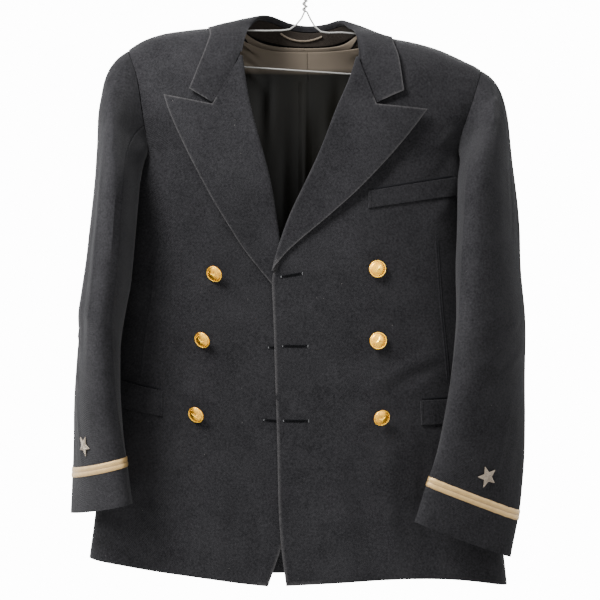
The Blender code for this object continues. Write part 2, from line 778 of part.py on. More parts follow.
STARS = {
    # station, angle round the sleeve
    "left": (6.08, 83.0),
    "right": (5.82, 70.0),
}


def star(name, side):
    """A raised five-pointed star, one point towards the cuff, on the sleeve's own points moved out."""
    station, about = STARS[side]
    outer = STAR_ACROSS / 1.9
    inner = outer * 0.42
    edge_height, ridge_height, middle_height = 0.8, 1.4, 2.2
    step = 0.1
    around = sleeve_skin(side, station, about + step) - sleeve_skin(side, station, about - step)
    down_sleeve = sleeve_skin(side, station + step, about) - sleeve_skin(side, station - step, about)
    per_degree, per_station = (np.linalg.norm(way) / (2 * step) for way in (around, down_sleeve))

    def spot(radius, direction, lift):
        across, down = radius * math.sin(direction), radius * math.cos(direction)
        v, angle = station + down / per_station, about + across / per_degree
        return placed(sleeve_skin(side, v, angle) + sleeve_normal(side, v, angle) * (SEAM + lift))

    maker = bmesh.new()
    rings = []
    for tip_lift, notch_lift in ((0.0, 0.0), (edge_height, ridge_height)):
        ring = []
        for k in range(10):
            radius, lift = (inner, notch_lift) if k % 2 else (outer, tip_lift)
            ring.append(maker.verts.new(spot(radius, k * math.pi / 5, lift)))
        rings.append(ring)
    under, top = rings
    ends = [maker.verts.new(spot(0, 0, 0)), maker.verts.new(spot(0, 0, middle_height))]
    for k in range(10):
        n = (k + 1) % 10
        maker.faces.new((under[k], under[n], top[n]))
        maker.faces.new((under[k], top[n], top[k]))
        maker.faces.new((ends[0], under[n], under[k]))
        maker.faces.new((ends[1], top[k], top[n]))
    bmesh.ops.recalc_face_normals(maker, faces=maker.faces)
    mesh = bpy.data.meshes.new(name)
    maker.to_mesh(mesh)
    maker.free()
    return add_object(name, mesh, "star")


# Small pieces on the fronts

def welt(name, corners):
    """A welt laid over a pocket's mouth, on the front's own points moved out."""
    rows, columns = 3, 9
    upper_inner, upper_outer, lower_outer, lower_inner = (np.array(c, float) for c in corners)
    tucked = upper_inner[0] < 0
    lift = 0.75 * RESTING + WELT_CLOTH
    points = []
    for r in range(rows):
        down = r / (rows - 1)
        start = upper_inner + (lower_inner - upper_inner) * down
        end = upper_outer + (lower_outer - upper_outer) * down
        spots = [start + (end - start) * c / (columns - 1) for c in range(columns)]
        points.append([on_front(*spot, lift, tucked) for spot in spots])
    return add_wall(name, "cloth", points, grid_normals(points, 1 if tucked else -1), WELT_CLOTH)


BUTTON_PROFILE = [
    # radius as a share of the button's, height above the cloth
    (0.0, 8.4), (0.34, 8.1), (0.64, 7.2), (0.84, 5.9), (0.9, 5.2), (0.97, 5.3), (1.0, 4.8),
    (0.96, 3.9), (0.2, 3.4), (0.2, 0.0), (0.0, 0.0),
]


def button(name, x, z, tip_forward, tip_aside, sink):
    """A domed gilt button turned from its profile, its shank on the cloth."""
    mesh = bpy.data.meshes.new(name)
    radius = BUTTON_ACROSS / 2
    points = [Vector((share * radius, 0, high)) * MM for share, high in BUTTON_PROFILE]
    mesh.from_pydata(points, [(i, i + 1) for i in range(len(points) - 1)], [])
    thing = add_object(name, mesh, "gilt")
    turned = thing.modifiers.new("Turned", "SCREW")
    turned.axis = "Z"
    turned.steps = turned.render_steps = 14
    turned.use_merge_vertices = True
    turned.merge_threshold = 0.00001
    tucked = x < 0
    seat, lifted = on_front(x, z, SEAM, tucked), on_front(x, z, 10, tucked)
    facing = Vector(unit(lifted - seat))
    thing.rotation_euler = facing.to_track_quat("Z", "Y").to_euler()
    thing.rotation_euler.rotate_axis("X", math.radians(tip_forward))
    thing.rotation_euler.rotate_axis("Y", math.radians(tip_aside))
    dip = BUTTON_PROFILE[-2][0] * radius * math.sin(math.radians(abs(tip_forward) + abs(tip_aside)))
    thing.location = placed(on_front(x, z, SEAM + 0.1 + dip - sink, tucked))
    return thing


# Lining, loop and hanger

def lining(name, sign):
    """One half of the back lining, hanging just inside the back, with a pleat at the centre."""
    columns = 8
    rises = (0.08, 0.21, 0.34, 0.47, 0.61, 0.74, 0.87, 1.0, 1.15, 1.32, 1.5, 1.68, 1.83, 1.96)
    close, open_gap, at_corner = CLOTH + 2 * SEAM, 3.2, 3.5
    points, normals = [], []
    for rise in rises:
        outer = 80 if rise <= 1 else min(armhole_turn(rise, sign) - 4, 80)
        line, line_normals = [], []
        for c in range(columns):
            angle = outer * (c / (columns - 1)) ** 1.2
            x = skin(sign * (180 - angle), rise)[0]
            level = neck_level(x, rise)
            where = skin(sign * (180 - angle), level)
            normal = skin_normal(sign * (180 - angle), level)
            loose = 1 - smooth(where[2], 610, 700)
            pleat = 7.0 * math.exp(-(angle / 3.0) ** 2) + 3.0 * math.sin(angle / 5.0) ** 2
            sewn = smooth(where[2], 686, 699) * (1 - smooth(abs(x), 30, 55))
            corner = smooth(abs(x), 35, 60) * smooth(where[2], 660, 690)
            inside = close + open_gap * (1 - sewn) + at_corner * corner + loose * (pleat + 1.0)
            line.append(where - normal * inside)
            line_normals.append(normal)
        points.append(line)
        normals.append(line_normals)
    points = eased(points, first_column=SEAM / 2 + 0.1)
    return add_wall(name, "lining", points, normals, LINING)


def wire(name, kind, points, radius):
    """A wire or cord along a line of points."""
    data = bpy.data.curves.new(name, "CURVE")
    data.dimensions = "3D"
    data.bevel_depth = radius * MM
    data.bevel_resolution = 2
    data.use_fill_caps = True
    line = data.splines.new("POLY")
    line.points.add(len(points) - 1)
    for spot, point in zip(line.points, points):
        spot.co = (*placed(point), 1)
    return add_object(name, data, kind)


def hang_loop(name):
    """A narrow tape loop sewn inside the collar stand."""
    radius = 1.3
    points = []
    for k in range(11):
        f = k / 10
        v = 4.75 + 1.9 * f
        here, ahead = stand_point(v, 0.5), stand_point(v + 0.1, 0.5)
        down = stand_point(v, 0.6) - stand_point(v, 0.4)
        normal = unit(np.cross(down, ahead - here))
        s = 0.3 + 0.3 * math.sin(math.pi * f)
        points.append(stand_point(v, s) + normal * (SEAM + radius))
    return wire(name, "loop", points, radius)


def hanger(name):
    """One bent wire: hook, stem, two arms, the bar, and its end twisted round the stem."""
    inner_radius = 19.0
    bend = inner_radius + WIRE
    centre_z = HOOK_TOP - inner_radius
    hook = [(bend * math.cos(math.radians(a)), 0, centre_z + bend * math.sin(math.radians(a)))
            for a in range(205, -41, -15)]
    stem = [(11.0, 0, 783), (5.5, 0, 777), (1.6, 0, 771), (0, 0, 765), (0, 0, 742)]

    def arm(x):
        return x, 0, SHOULDER.at(x, "z") - CLOTH - WIRE - 2 * SEAM

    right_arm = [(-4.5, 0, 732), (-12, 0, 723), (-20, 0, 717.5), (-30, 0, 716.2)]
    right_arm += [arm(x) for x in range(-50, -191, -20)]
    right_end = [(-199, 0, 700), (-204, 0, 691), (-203, 0, 682), (-197, 0, 676.5)]
    left_end = [(196, 0, 650), (203, 0, 652), (206.5, 0, 659), (202, 0, 669)]
    left_arm = [arm(x) for x in range(188, 47, -20)]
    left_arm += [(30, 0, 713), (21, 0, 714.5), (13, 0, 721), (7, 0, 731)]
    coil_radius, coil_turns, coil_low, coil_high = 2 * WIRE + 0.45, 3, 740.0, 762.0
    coil = []
    for k in range(coil_turns * 8 + 1):
        turn = k * math.pi / 4
        coil.append((coil_radius * math.cos(turn), coil_radius * math.sin(turn),
                     coil_low + (coil_high - coil_low) * k / (coil_turns * 8)))
    path = hook + stem + right_arm + right_end + left_end + left_arm + coil
    return wire(name, "wire", path, WIRE)


def main():
    for thing in list(bpy.data.objects):
        bpy.data.objects.remove(thing)
    bpy.context.scene.collection.children.link(bpy.data.collections.new(COLLECTION))
    front("front_left", 1, EDGE_LEFT, False)
    front("front_right", -1, EDGE_RIGHT, True)
    back("back_left", 1, NECK_LEFT)
    back("back_right", -1, NECK_RIGHT)
    lapel("lapel_left", 1, EDGE_LEFT, LAPEL_LEFT, BREAK, False)
    lapel("lapel_right", -1, EDGE_RIGHT, LAPEL_RIGHT, BREAK, True)
    collar_fall("collar_fall")
    collar_stand("collar_stand")
    for side in SIDES:
        sleeve_panel(f"sleeve_top_{side}", side, TOP_SLEEVE)
        sleeve_panel(f"sleeve_under_{side}", side, UNDER_SLEEVE)
        lace_stripe(f"stripe_{side}", side)
        star(f"star_{side}", side)
    for name, corners in WELTS.items():
        welt(name, corners)
    for name, place in BUTTONS.items():
        button(name, *place)
    lining("lining_back_left", 1)
    lining("lining_back_right", -1)
    hang_loop("hang_loop")
    hanger("hanger")


main()
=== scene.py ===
# %% [markdown]
# # A naval officer's jacket on a wire hanger
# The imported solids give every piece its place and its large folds. This lesson rounds each cloth
# wall, presses creases into it, and then adds what a tailor adds: darts, buttonholes, gilt buttons,
# lace round the cuffs and an embroidered star above it.

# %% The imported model
import math

import bmesh
import bpy
import numpy as np
from mathutils import Matrix, Vector, kdtree, noise
from mathutils.bvhtree import BVHTree


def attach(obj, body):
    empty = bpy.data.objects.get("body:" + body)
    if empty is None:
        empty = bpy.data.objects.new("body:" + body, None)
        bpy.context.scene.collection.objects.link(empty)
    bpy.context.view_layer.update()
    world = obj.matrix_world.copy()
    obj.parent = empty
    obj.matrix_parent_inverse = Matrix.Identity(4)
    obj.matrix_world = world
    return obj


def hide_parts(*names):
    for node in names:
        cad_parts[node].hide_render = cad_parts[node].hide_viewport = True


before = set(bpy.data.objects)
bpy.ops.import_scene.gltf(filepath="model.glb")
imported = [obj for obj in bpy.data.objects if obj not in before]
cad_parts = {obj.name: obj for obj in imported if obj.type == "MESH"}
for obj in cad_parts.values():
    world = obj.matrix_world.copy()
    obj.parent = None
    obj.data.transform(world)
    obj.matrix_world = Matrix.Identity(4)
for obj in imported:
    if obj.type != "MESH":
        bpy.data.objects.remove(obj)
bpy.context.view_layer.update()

# %% [markdown]
# ## The tailor's measure
# Heights on a jacket are read from the front hem and in millimetres, as on a paper pattern. The model
# hangs from the inside of the hook, 823 mm above the hem, so every size goes through one helper.

# %% Millimetres above the hem
MM = 0.001
HOOK_HEIGHT = 823.0


def at(x, y, z):
    """A place on the jacket, in millimetres, as the model's metres."""
    return Vector((x, y, z - HOOK_HEIGHT)) * MM


def in_mm(points):
    """The model's metres as millimetres above the hem."""
    return np.asarray(points) / MM + np.array((0.0, 0.0, HOOK_HEIGHT))


def ramp(value, low, high):
    """0 below low, 1 above high, and soft in between."""
    f = np.clip((value - low) / (high - low), 0.0, 1.0)
    return f * f * (3 - 2 * f)


# %% [markdown]
# ## Shader helpers
# A material is a small graph. These helpers add a node with its settings and its values in one line,
# and make a group with named inputs and outputs, so that a weave is built once and used in each cloth.

# %% Nodes in a line
def add_node(tree, kind, values=None, **settings):
    made = tree.nodes.new(kind)
    for key, value in settings.items():
        setattr(made, key, value)
    for key, value in (values or {}).items():
        made.inputs[key].default_value = value
    return made


def new_group(name, inputs, outputs):
    """A node group: inputs are names with default values, outputs are names with socket kinds."""
    tree = bpy.data.node_groups.new(name, "ShaderNodeTree")
    for socket, value in inputs.items():
        made = tree.interface.new_socket(socket, in_out="INPUT", socket_type="NodeSocketFloat")
        made.default_value = value
    for socket, kind in outputs.items():
        tree.interface.new_socket(socket, in_out="OUTPUT", socket_type=kind)
    return tree, add_node(tree, "NodeGroupInput"), add_node(tree, "NodeGroupOutput")


def maths(tree, operation, first, second=None):
    """A Math node on sockets or plain numbers, and its result."""
    made = add_node(tree, "ShaderNodeMath", operation=operation)
    for slot, value in enumerate((first, second)):
        if value is None:
            continue
        if isinstance(value, (int, float)):
            made.inputs[slot].default_value = value
        else:
            tree.links.new(value, made.inputs[slot])
    return made.outputs[0]


def new_material(name, roughness, metallic=0.0, sheen=0.0, gloss=None):
    made = bpy.data.materials.new(name)
    made.use_nodes = True
    shader = made.node_tree.nodes["Principled BSDF"]
    shader.inputs["Roughness"].default_value = roughness
    shader.inputs["Metallic"].default_value = metallic
    if sheen:
        shader.inputs["Sheen Weight"].default_value = sheen
        shader.inputs["Sheen Roughness"].default_value = 0.45
    if gloss is not None:
        shader.inputs["Specular IOR Level"].default_value = gloss
    return made, made.node_tree, shader


def blend_colours(tree, factor, first, second):
    """A colour that goes from first to second as the factor goes from 0 to 1."""
    made = add_node(tree, "ShaderNodeMix", data_type="RGBA")
    tree.links.new(factor, made.inputs["Factor"])
    for slot, value in (("A", first), ("B", second)):
        socket = [s for s in made.inputs if s.name == slot and s.type == "RGBA"][0]
        if isinstance(value, tuple):
            socket.default_value = (*value, 1)
        else:
            tree.links.new(value, socket)
    return [s for s in made.outputs if s.type == "RGBA"][0]


def add_bump(tree, shader, height, strength, distance):
    bump = add_node(tree, "ShaderNodeBump", {"Strength": strength, "Distance": distance})
    tree.links.new(height, bump.inputs["Height"])
    tree.links.new(bump.outputs["Normal"], shader.inputs["Normal"])


def remap(tree, value, limits):
    """A value moved from one range to another."""
    made = add_node(tree, "ShaderNodeMapRange", limits)
    tree.links.new(value, made.inputs["Value"])
    return made.outputs["Result"]


def object_place(tree):
    return add_node(tree, "ShaderNodeTexCoord").outputs["Object"]


def add_texture(tree, kind, place, values, **settings):
    """A texture node that reads its place from a socket."""
    made = add_node(tree, f"ShaderNodeTex{kind}", values, **settings)
    tree.links.new(place, made.inputs["Vector"])
    return made


# %% [markdown]
# ## The weave
# Uniform serge is a twill: fine diagonal ribs under a short nap. The ribs are a diagonal wave a
# millimetre apart, broken up by noise so that no line runs dead straight. Small fibres that cling to
# dark wool are rare spots, one in a few of the cells of a Voronoi pattern.

# %% Weave group
weave_group, weave_in, weave_out = new_group(
    "Serge weave",
    {"Rib width": 0.0011, "Nap": 0.5},
    {"Unevenness": "NodeSocketFloat", "Lint": "NodeSocketFloat", "Height": "NodeSocketFloat"},
)
WAVE_PERIOD = 2 * math.pi / 20          # how long one wave is at a scale of 1
RIBS = {"Distortion": 1.2, "Detail": 2.0, "Detail Scale": 0.6}
NAP = {"Scale": 1100.0, "Detail": 3.0, "Roughness": 0.7}
CLOUDS = {"Scale": 22.0, "Detail": 4.0, "Roughness": 0.6}
SLUBS = {"Scale": 380.0, "Detail": 2.0, "Roughness": 0.6}
SPECKS_A_METRE = 125.0
SPECK_SHARE, SPECK_REACH = 0.2, 0.055   # how many cells hold lint, and how much of a cell it fills


def build_weave(tree, entry, exit_node):
    place = object_place(tree)
    ribs = add_texture(tree, "Wave", place, RIBS, bands_direction="DIAGONAL")
    tree.links.new(maths(tree, "DIVIDE", WAVE_PERIOD, entry.outputs["Rib width"]), ribs.inputs["Scale"])
    nap, cloud, slubs = (add_texture(tree, "Noise", place, values).outputs[0]
                         for values in (NAP, CLOUDS, SLUBS))
    napped = maths(tree, "MULTIPLY", nap, entry.outputs["Nap"])
    tree.links.new(maths(tree, "ADD", ribs.outputs["Fac"], napped), exit_node.inputs["Height"])
    coarse = maths(tree, "ADD", maths(tree, "MULTIPLY", cloud, 0.5), maths(tree, "MULTIPLY", slubs, 0.9))
    tone = maths(tree, "ADD", coarse, maths(tree, "MULTIPLY", nap, 0.5))
    contrast = remap(tree, tone, {"From Min": 0.62, "From Max": 1.28})
    tree.links.new(contrast, exit_node.inputs["Unevenness"])
    specks = add_texture(tree, "Voronoi", place, {"Scale": SPECKS_A_METRE})
    chosen = add_node(tree, "ShaderNodeSeparateColor")
    tree.links.new(specks.outputs["Color"], chosen.inputs[0])
    rare = maths(tree, "GREATER_THAN", chosen.outputs[0], 1 - SPECK_SHARE)
    size = maths(tree, "MULTIPLY", chosen.outputs[1], SPECK_REACH)
    close = maths(tree, "LESS_THAN", specks.outputs["Distance"], size)
    tree.links.new(maths(tree, "MULTIPLY", rare, close), exit_node.inputs["Lint"])


build_weave(weave_group, weave_in, weave_out)

# %% [markdown]
# ## Serge
# The same weave serves the dark serge and the browner cloth inside the collar. Wool is rough and takes
# next to no gloss. Its colour goes from dark to light with the weave's unevenness, and free edges are
# painted paler, which a mesh attribute says point by point: partly rubbed wear, partly a painted highlight.

# %% Serge
LINT_COLOUR = (0.16, 0.15, 0.14)
# the paler colour of free edges: partly rubbed wear, partly a painted highlight
RUBBED_AND_HIGHLIGHT_COLOUR = (0.052, 0.050, 0.051)
DULL = 0.05                             # the specular level of wool and dark thread


def serge(name, dark, light, lint):
    """Napped wool with lint on it, painted paler along free edges where a mesh attribute says so: rubbed wear
    and a painted highlight.
    """
    made, tree, shader = new_material(name, 0.92, sheen=0.06, gloss=DULL)
    weave = add_node(tree, "ShaderNodeGroup", {"Rib width": 0.0011, "Nap": 0.5}, node_tree=weave_group)
    uneven = weave.outputs["Unevenness"]
    tone = blend_colours(tree, uneven, dark, light)
    fibres = maths(tree, "MULTIPLY", weave.outputs["Lint"], lint)
    linted = blend_colours(tree, fibres, tone, LINT_COLOUR)
    # painted highlight along free edges, partly rubbed wear, by the mesh attribute
    worn_highlight = add_node(tree, "ShaderNodeAttribute", attribute_name="worn_highlight")
    rubbed_and_highlit = maths(tree, "MULTIPLY", worn_highlight.outputs["Fac"], maths(tree, "ADD", uneven, 0.35))
    tree.links.new(blend_colours(tree, rubbed_and_highlit, linted, RUBBED_AND_HIGHLIGHT_COLOUR), shader.inputs["Base Color"])
    add_bump(tree, shader, weave.outputs["Height"], 0.5, 0.0005)
    return made


navy_serge = serge("navy_serge", (0.0055, 0.0054, 0.0062), (0.0265, 0.0258, 0.0280), 0.8)
collar_cloth = serge("collar_inner_cloth", (0.014, 0.011, 0.009), (0.027, 0.022, 0.018), 0.3)

# %% [markdown]
# ## Lining
# Satin has no ribs to be seen. Its threads float along the cloth, so noise that is drawn out downwards
# gives both its streaks, which are painted sheen in its colour, and an uneven gloss. Where it meets the neck
# it is painted a paler brown as painted light.

# %% Satin lining
STRETCH = (1.0, 1.0, 0.12)                              # streaks run down the cloth
PAINTED_LIGHT_ABOVE = {"From Min": -0.158, "From Max": -0.149}   # heights in metres, just above the hanger's bar, where the painted light begins


def satin(name, dark, light, painted_neck_light):
    """Satin with streaks of painted sheen along its folds, painted a paler brown where it meets the neck as
    painted light.
    """
    made, tree, shader = new_material(name, 0.38, gloss=0.07)
    place = object_place(tree)
    stretched = add_node(tree, "ShaderNodeMapping", {"Scale": STRETCH})
    tree.links.new(place, stretched.inputs["Vector"])
    streaks, threads = (add_texture(tree, "Noise", stretched.outputs["Vector"], values).outputs[0]
                        for values in ({"Scale": 60.0, "Detail": 5.0}, {"Scale": 2400.0, "Detail": 1.0}))
    heights = add_node(tree, "ShaderNodeSeparateXYZ")
    tree.links.new(place, heights.inputs[0])
    at_neck = remap(tree, heights.outputs["Z"], PAINTED_LIGHT_ABOVE)
    # painted sheen in the streaks, then painted light at the neck
    sheen_streaked = blend_colours(tree, streaks, dark, light)
    tree.links.new(blend_colours(tree, at_neck, sheen_streaked, painted_neck_light), shader.inputs["Base Color"])
    tree.links.new(remap(tree, streaks, {"To Min": 0.28, "To Max": 0.5}), shader.inputs["Roughness"])
    add_bump(tree, shader, threads, 0.15, 0.0002)
    return made


# the third colour is the painted light at the neck
satin_lining = satin("satin_lining", (0.0010, 0.0010, 0.0008), (0.0060, 0.0054, 0.0038),
                     (0.125, 0.102, 0.078))

# %% [markdown]
# ## Metals and threads
# A stamped or bent metal is bright where hands rub it and dull in its hollows: partly tarnish, partly painted
# shade that brings out the relief. Thread is a fine twist of a dark and a light tone. Each of them is a
# function with a few values, and a material for each use.

# %% Metals and threads
def tarnished_and_shaded_metal(name, recess, face, roughness, metallic):
    """Metal that is bright where it stands up and dull where it is sunk, by the raised attribute: the dull
    hollows are partly tarnish and partly painted shade.
    """
    made, tree, shader = new_material(name, roughness, metallic)
    raised = add_node(tree, "ShaderNodeAttribute", attribute_name="raised")
    stain = add_texture(tree, "Noise", object_place(tree), {"Scale": 420.0, "Detail": 4.0}).outputs[0]
    mottled = maths(tree, "SUBTRACT", maths(tree, "MULTIPLY", stain, 2.6), 0.3)
    shown = maths(tree, "MULTIPLY", raised.outputs["Fac"], mottled)
    tree.links.new(blend_colours(tree, shown, recess, face), shader.inputs["Base Color"])
    dulled = remap(tree, shown, {"To Min": roughness + 0.2, "To Max": roughness})
    tree.links.new(dulled, shader.inputs["Roughness"])
    add_bump(tree, shader, stain, 0.35, 0.0004)
    return made


def thread(name, dark, light, roughness, metallic=0.0, sheen=0.15):
    """Sewing or metal thread with a fine twist. Thread without sheen has next to no gloss either."""
    made, tree, shader = new_material(name, roughness, metallic, sheen, None if sheen else DULL)
    twist = add_texture(tree, "Wave", object_place(tree), {"Scale": 420.0, "Distortion": 2.0},
                        bands_direction="DIAGONAL").outputs["Fac"]
    tree.links.new(blend_colours(tree, twist, dark, light), shader.inputs["Base Color"])
    add_bump(tree, shader, twist, 0.3, 0.0002)
    return made


gilt = tarnished_and_shaded_metal("gilt_button", (0.42, 0.14, 0.012), (1.0, 0.63, 0.06), 0.25, 1.0)
bullion = thread("star_bullion", (0.06, 0.05, 0.038), (0.36, 0.295, 0.225), 0.5, 0.5)
# a dark strip of painted shade in each buttonhole's slit
painted_slit_shade = thread("painted_slit_shade", (0.0010, 0.0010, 0.0012), (0.003, 0.003, 0.0035), 0.95, sheen=0.0)
# dark thread, also used for the painted shade of the pocket mouths
dark_thread_and_shade = thread("dark_thread_and_mouth_shade", (0.003, 0.003, 0.0035), (0.014, 0.014, 0.016), 0.7, sheen=0.0)
# lighter thread at the buttonholes' ends, a painted highlight
end_thread_highlight = thread("buttonhole_end_thread_highlight", (0.02, 0.02, 0.021), (0.085, 0.085, 0.09), 0.5)
tan_tape = thread("tan_tape", (0.045, 0.034, 0.022), (0.17, 0.13, 0.09), 0.75)
zinc_wire = tarnished_and_shaded_metal("zinc_wire", (0.20, 0.195, 0.185), (0.44, 0.43, 0.41), 0.42, 0.75)
print("materials", len(bpy.data.materials))

# %% [markdown]
# ## Creases
# Wool that hangs shows few and soft folds: drags from the armhole and the waist button, ripples above
# the hem, and kinks at the elbow. Each is a ridge or trough along a bowed line, uneven along its
# length. A row gives both ends in millimetres, how far the line bows, its width and its height.

# %% Creases of the body
FRONT_CREASES = [
    # x0, z0, x1, z1, bow, width, height
    (184, 296, 74, 246, 7, 6, 2.3),
    (176, 280, 96, 236, 6, 5, -1.7),
    (168, 262, 130, 240, 3, 4, 0.9),
    (-156, 259, -136, 236, 2, 4, 1.5),
    (-172, 252, -140, 222, -3, 5, -1.0),
    (126, 556, 14, 452, -6, 8, -1.5),
    (-122, 486, -70, 408, 5, 8, -1.3),
    (84, 395, -10, 398, 4, 9, 0.8),
    (84, 306, -22, 311, -4, 10, 0.9),
    (86, 208, -24, 214, 3, 9, 0.7),
    (-104, 392, -46, 372, 4, 8, 0.8),
    (-120, 308, -50, 296, -4, 9, 0.8),
    (-192, 590, -158, 560, 4, 6, 1.2),
    (-196, 570, -150, 520, 6, 7, -1.2),
    (-198, 545, -160, 470, 6, 7, 1.3),
    (192, 588, 160, 556, -4, 6, 1.1),
    (196, 566, 150, 510, -6, 7, -1.2),
    (199, 540, 164, 462, -6, 8, 1.2),
    (-205, 420, -216, 250, 5, 10, 1.4),
    (-176, 210, -190, 60, 6, 11, 1.6),
    (-146, 170, -152, 20, -5, 9, -1.3),
    (-96, 150, -104, 14, 5, 10, 1.3),
    (-64, 120, -62, 10, -4, 8, -1.0),
    (20, 140, 26, 10, 5, 9, 1.2),
    (62, 170, 74, 14, -6, 11, -1.4),
    (112, 190, 120, 14, 6, 10, 1.5),
    (150, 200, 166, 14, 5, 9, -1.3),
    (190, 190, 206, 20, -6, 10, 1.4),
    (-150, 700, -120, 640, 5, 9, 0.9),
    (150, 688, 128, 630, -5, 9, 0.9),
]
BACK_CREASES = [
    (-30, 660, -120, 560, 10, 12, 1.5),
    (36, 662, 122, 566, -10, 12, 1.5),
    (-180, 600, -110, 500, 8, 9, 1.6),
    (182, 598, 116, 498, -8, 9, 1.6),
    (-190, 560, -150, 470, 6, 7, -1.3),
    (190, 558, 152, 468, -6, 7, -1.3),
    (-60, 470, -64, 300, 6, 14, 1.4),
    (66, 460, 62, 290, -6, 14, 1.4),
    (-120, 360, -40, 340, -7, 9, -1.1),
    (124, 352, 44, 336, 7, 9, -1.1),
    (-150, 320, -172, 40, 8, 12, 1.8),
    (-100, 260, -110, 16, -6, 11, -1.5),
    (-48, 220, -54, 12, 5, 10, 1.4),
    (52, 230, 60, 12, -5, 10, 1.4),
    (104, 260, 116, 14, 6, 11, -1.5),
    (156, 300, 172, 20, -8, 12, 1.8),
    (-8, 300, -14, 20, 3, 9, -1.0),
]
ARMHOLE_PUCKERS = [(side, z) for side in (-1, 1) for z in range(566, 690, 17)]
WAVER = 0.22                            # how much a crease's height changes along it


def press_creases(x, z, rows):
    """How far a table of creases moves cloth outwards at flat places x, z."""
    total = np.zeros_like(x)
    for order, (x0, z0, x1, z1, bow, width, height) in enumerate(rows):
        run = math.hypot(x1 - x0, z1 - z0)
        ahead = ((x - x0) * (x1 - x0) + (z - z0) * (z1 - z0)) / run ** 2
        f = np.clip(ahead, 0.0, 1.0)
        aside = ((x - x0) * (z1 - z0) - (z - z0) * (x1 - x0)) / run - 4 * bow * f * (1 - f)
        uneven = 1 - WAVER + WAVER * np.sin(5.0 * f + 1.7 * order)
        dying_out = np.sin(math.pi * f) ** 0.8
        total += height * np.exp(-(aside / width) ** 2) * dying_out * uneven
    return total


# %% All creases of the body together
CREASE_DEPTH = 1.35
ARMHOLE_PLACE, ARMHOLE_LEVEL, ARMHOLE_SLOPE = 206, 560, 0.22
PUCKER_INSET, PUCKER_HEIGHT = 14, 0.55
SIDE = (178, 206)                       # where fronts and backs turn in to the side seam
BY_SLEEVE_BELOW = (545, 575)
ARMPIT_LEVEL, ARMPIT_SPAN, ARMPIT_FULLNESS = 526, 30.0, 6.0


def body_creases(points):
    """Outward moves for the fronts, the back and all that lies on them."""
    x, y, z = points.T
    front = press_creases(x, z, FRONT_CREASES)
    back = press_creases(x, z, BACK_CREASES)
    total = np.where(y < 0, front, back) * ramp(np.abs(y), 1, 16)
    pucker = np.zeros_like(x)
    for side, level in ARMHOLE_PUCKERS:
        edge = ARMHOLE_PLACE + ARMHOLE_SLOPE * (level - ARMHOLE_LEVEL)
        away = np.abs(side * x - edge + PUCKER_INSET)
        pucker += PUCKER_HEIGHT * np.exp(-((z - level) / 4.0) ** 2 - (away / 12.0) ** 2)
    to_side = ramp(np.abs(x), *SIDE)
    by_sleeve = to_side * (1 - ramp(z, *BY_SLEEVE_BELOW))
    full_side = ARMPIT_FULLNESS * to_side * np.exp(-((z - ARMPIT_LEVEL) / ARMPIT_SPAN) ** 2)
    return CREASE_DEPTH * total * (1 - 0.85 * by_sleeve) + pucker + full_side


# %% [markdown]
# A crease moves cloth along one smooth direction, the same for both skins of the wall and for pieces
# that lie on each other, so that nothing crosses. Round the body that direction is the way out from an
# oval, and round a sleeve the way out from the sleeve's middle.

# %% The way out
SLEEVE_MIDDLES = {
    # heights, then the middle's x and y
    "left": ((61, 100, 150, 200, 267, 330, 400, 460, 520, 620),
             (200, 210, 222, 229, 233, 236, 237, 238, 236, 226),
             (-69, -68, -67, -65, -62, -57, -49, -40, -30, -12)),
    "right": ((101, 130, 176, 226, 265, 336, 380, 427, 510, 620),
              (-259, -260, -262, -264, -264, -261, -257, -253, -245, -230),
              (-64, -64, -62, -60, -58, -54, -50, -43, -34, -12)),
}
BODY_WIDE, BODY_DEEP = 240.0, 62.0
SHOULDER = (590, 722)                   # heights between which the way out turns upwards
SHOULDER_LEAN = 0.012


def unit_rows(ways):
    return ways / np.maximum(np.linalg.norm(ways, axis=1, keepdims=True), 1e-9)


def out_of_body(points):
    x, y, z = points.T
    up = SHOULDER_LEAN * ramp(z, *SHOULDER) ** 2
    return unit_rows(np.stack((x / BODY_WIDE ** 2, y / BODY_DEEP ** 2, up), axis=1))


def from_sleeve_middle(points, side):
    heights, xs, ys = SLEEVE_MIDDLES[side]
    dx = points[:, 0] - np.interp(points[:, 2], heights, xs)
    dy = points[:, 1] - np.interp(points[:, 2], heights, ys)
    return dx, dy


def out_of_sleeve(points, side):
    dx, dy = from_sleeve_middle(points, side)
    up = 0.25 * np.hypot(dx, dy) * ramp(points[:, 2], 600, 680)
    return unit_rows(np.stack((dx, dy, up), axis=1))


# %% [markdown]
# On a sleeve the flat drawing is the cloth unrolled: the angle round the arm, with 0 at the front and
# 90 on the outside, and the height. Both elbows kink on the inside of the bend and pull over the
# outside, and the cloth ripples a little where the sleeve rests against the body.

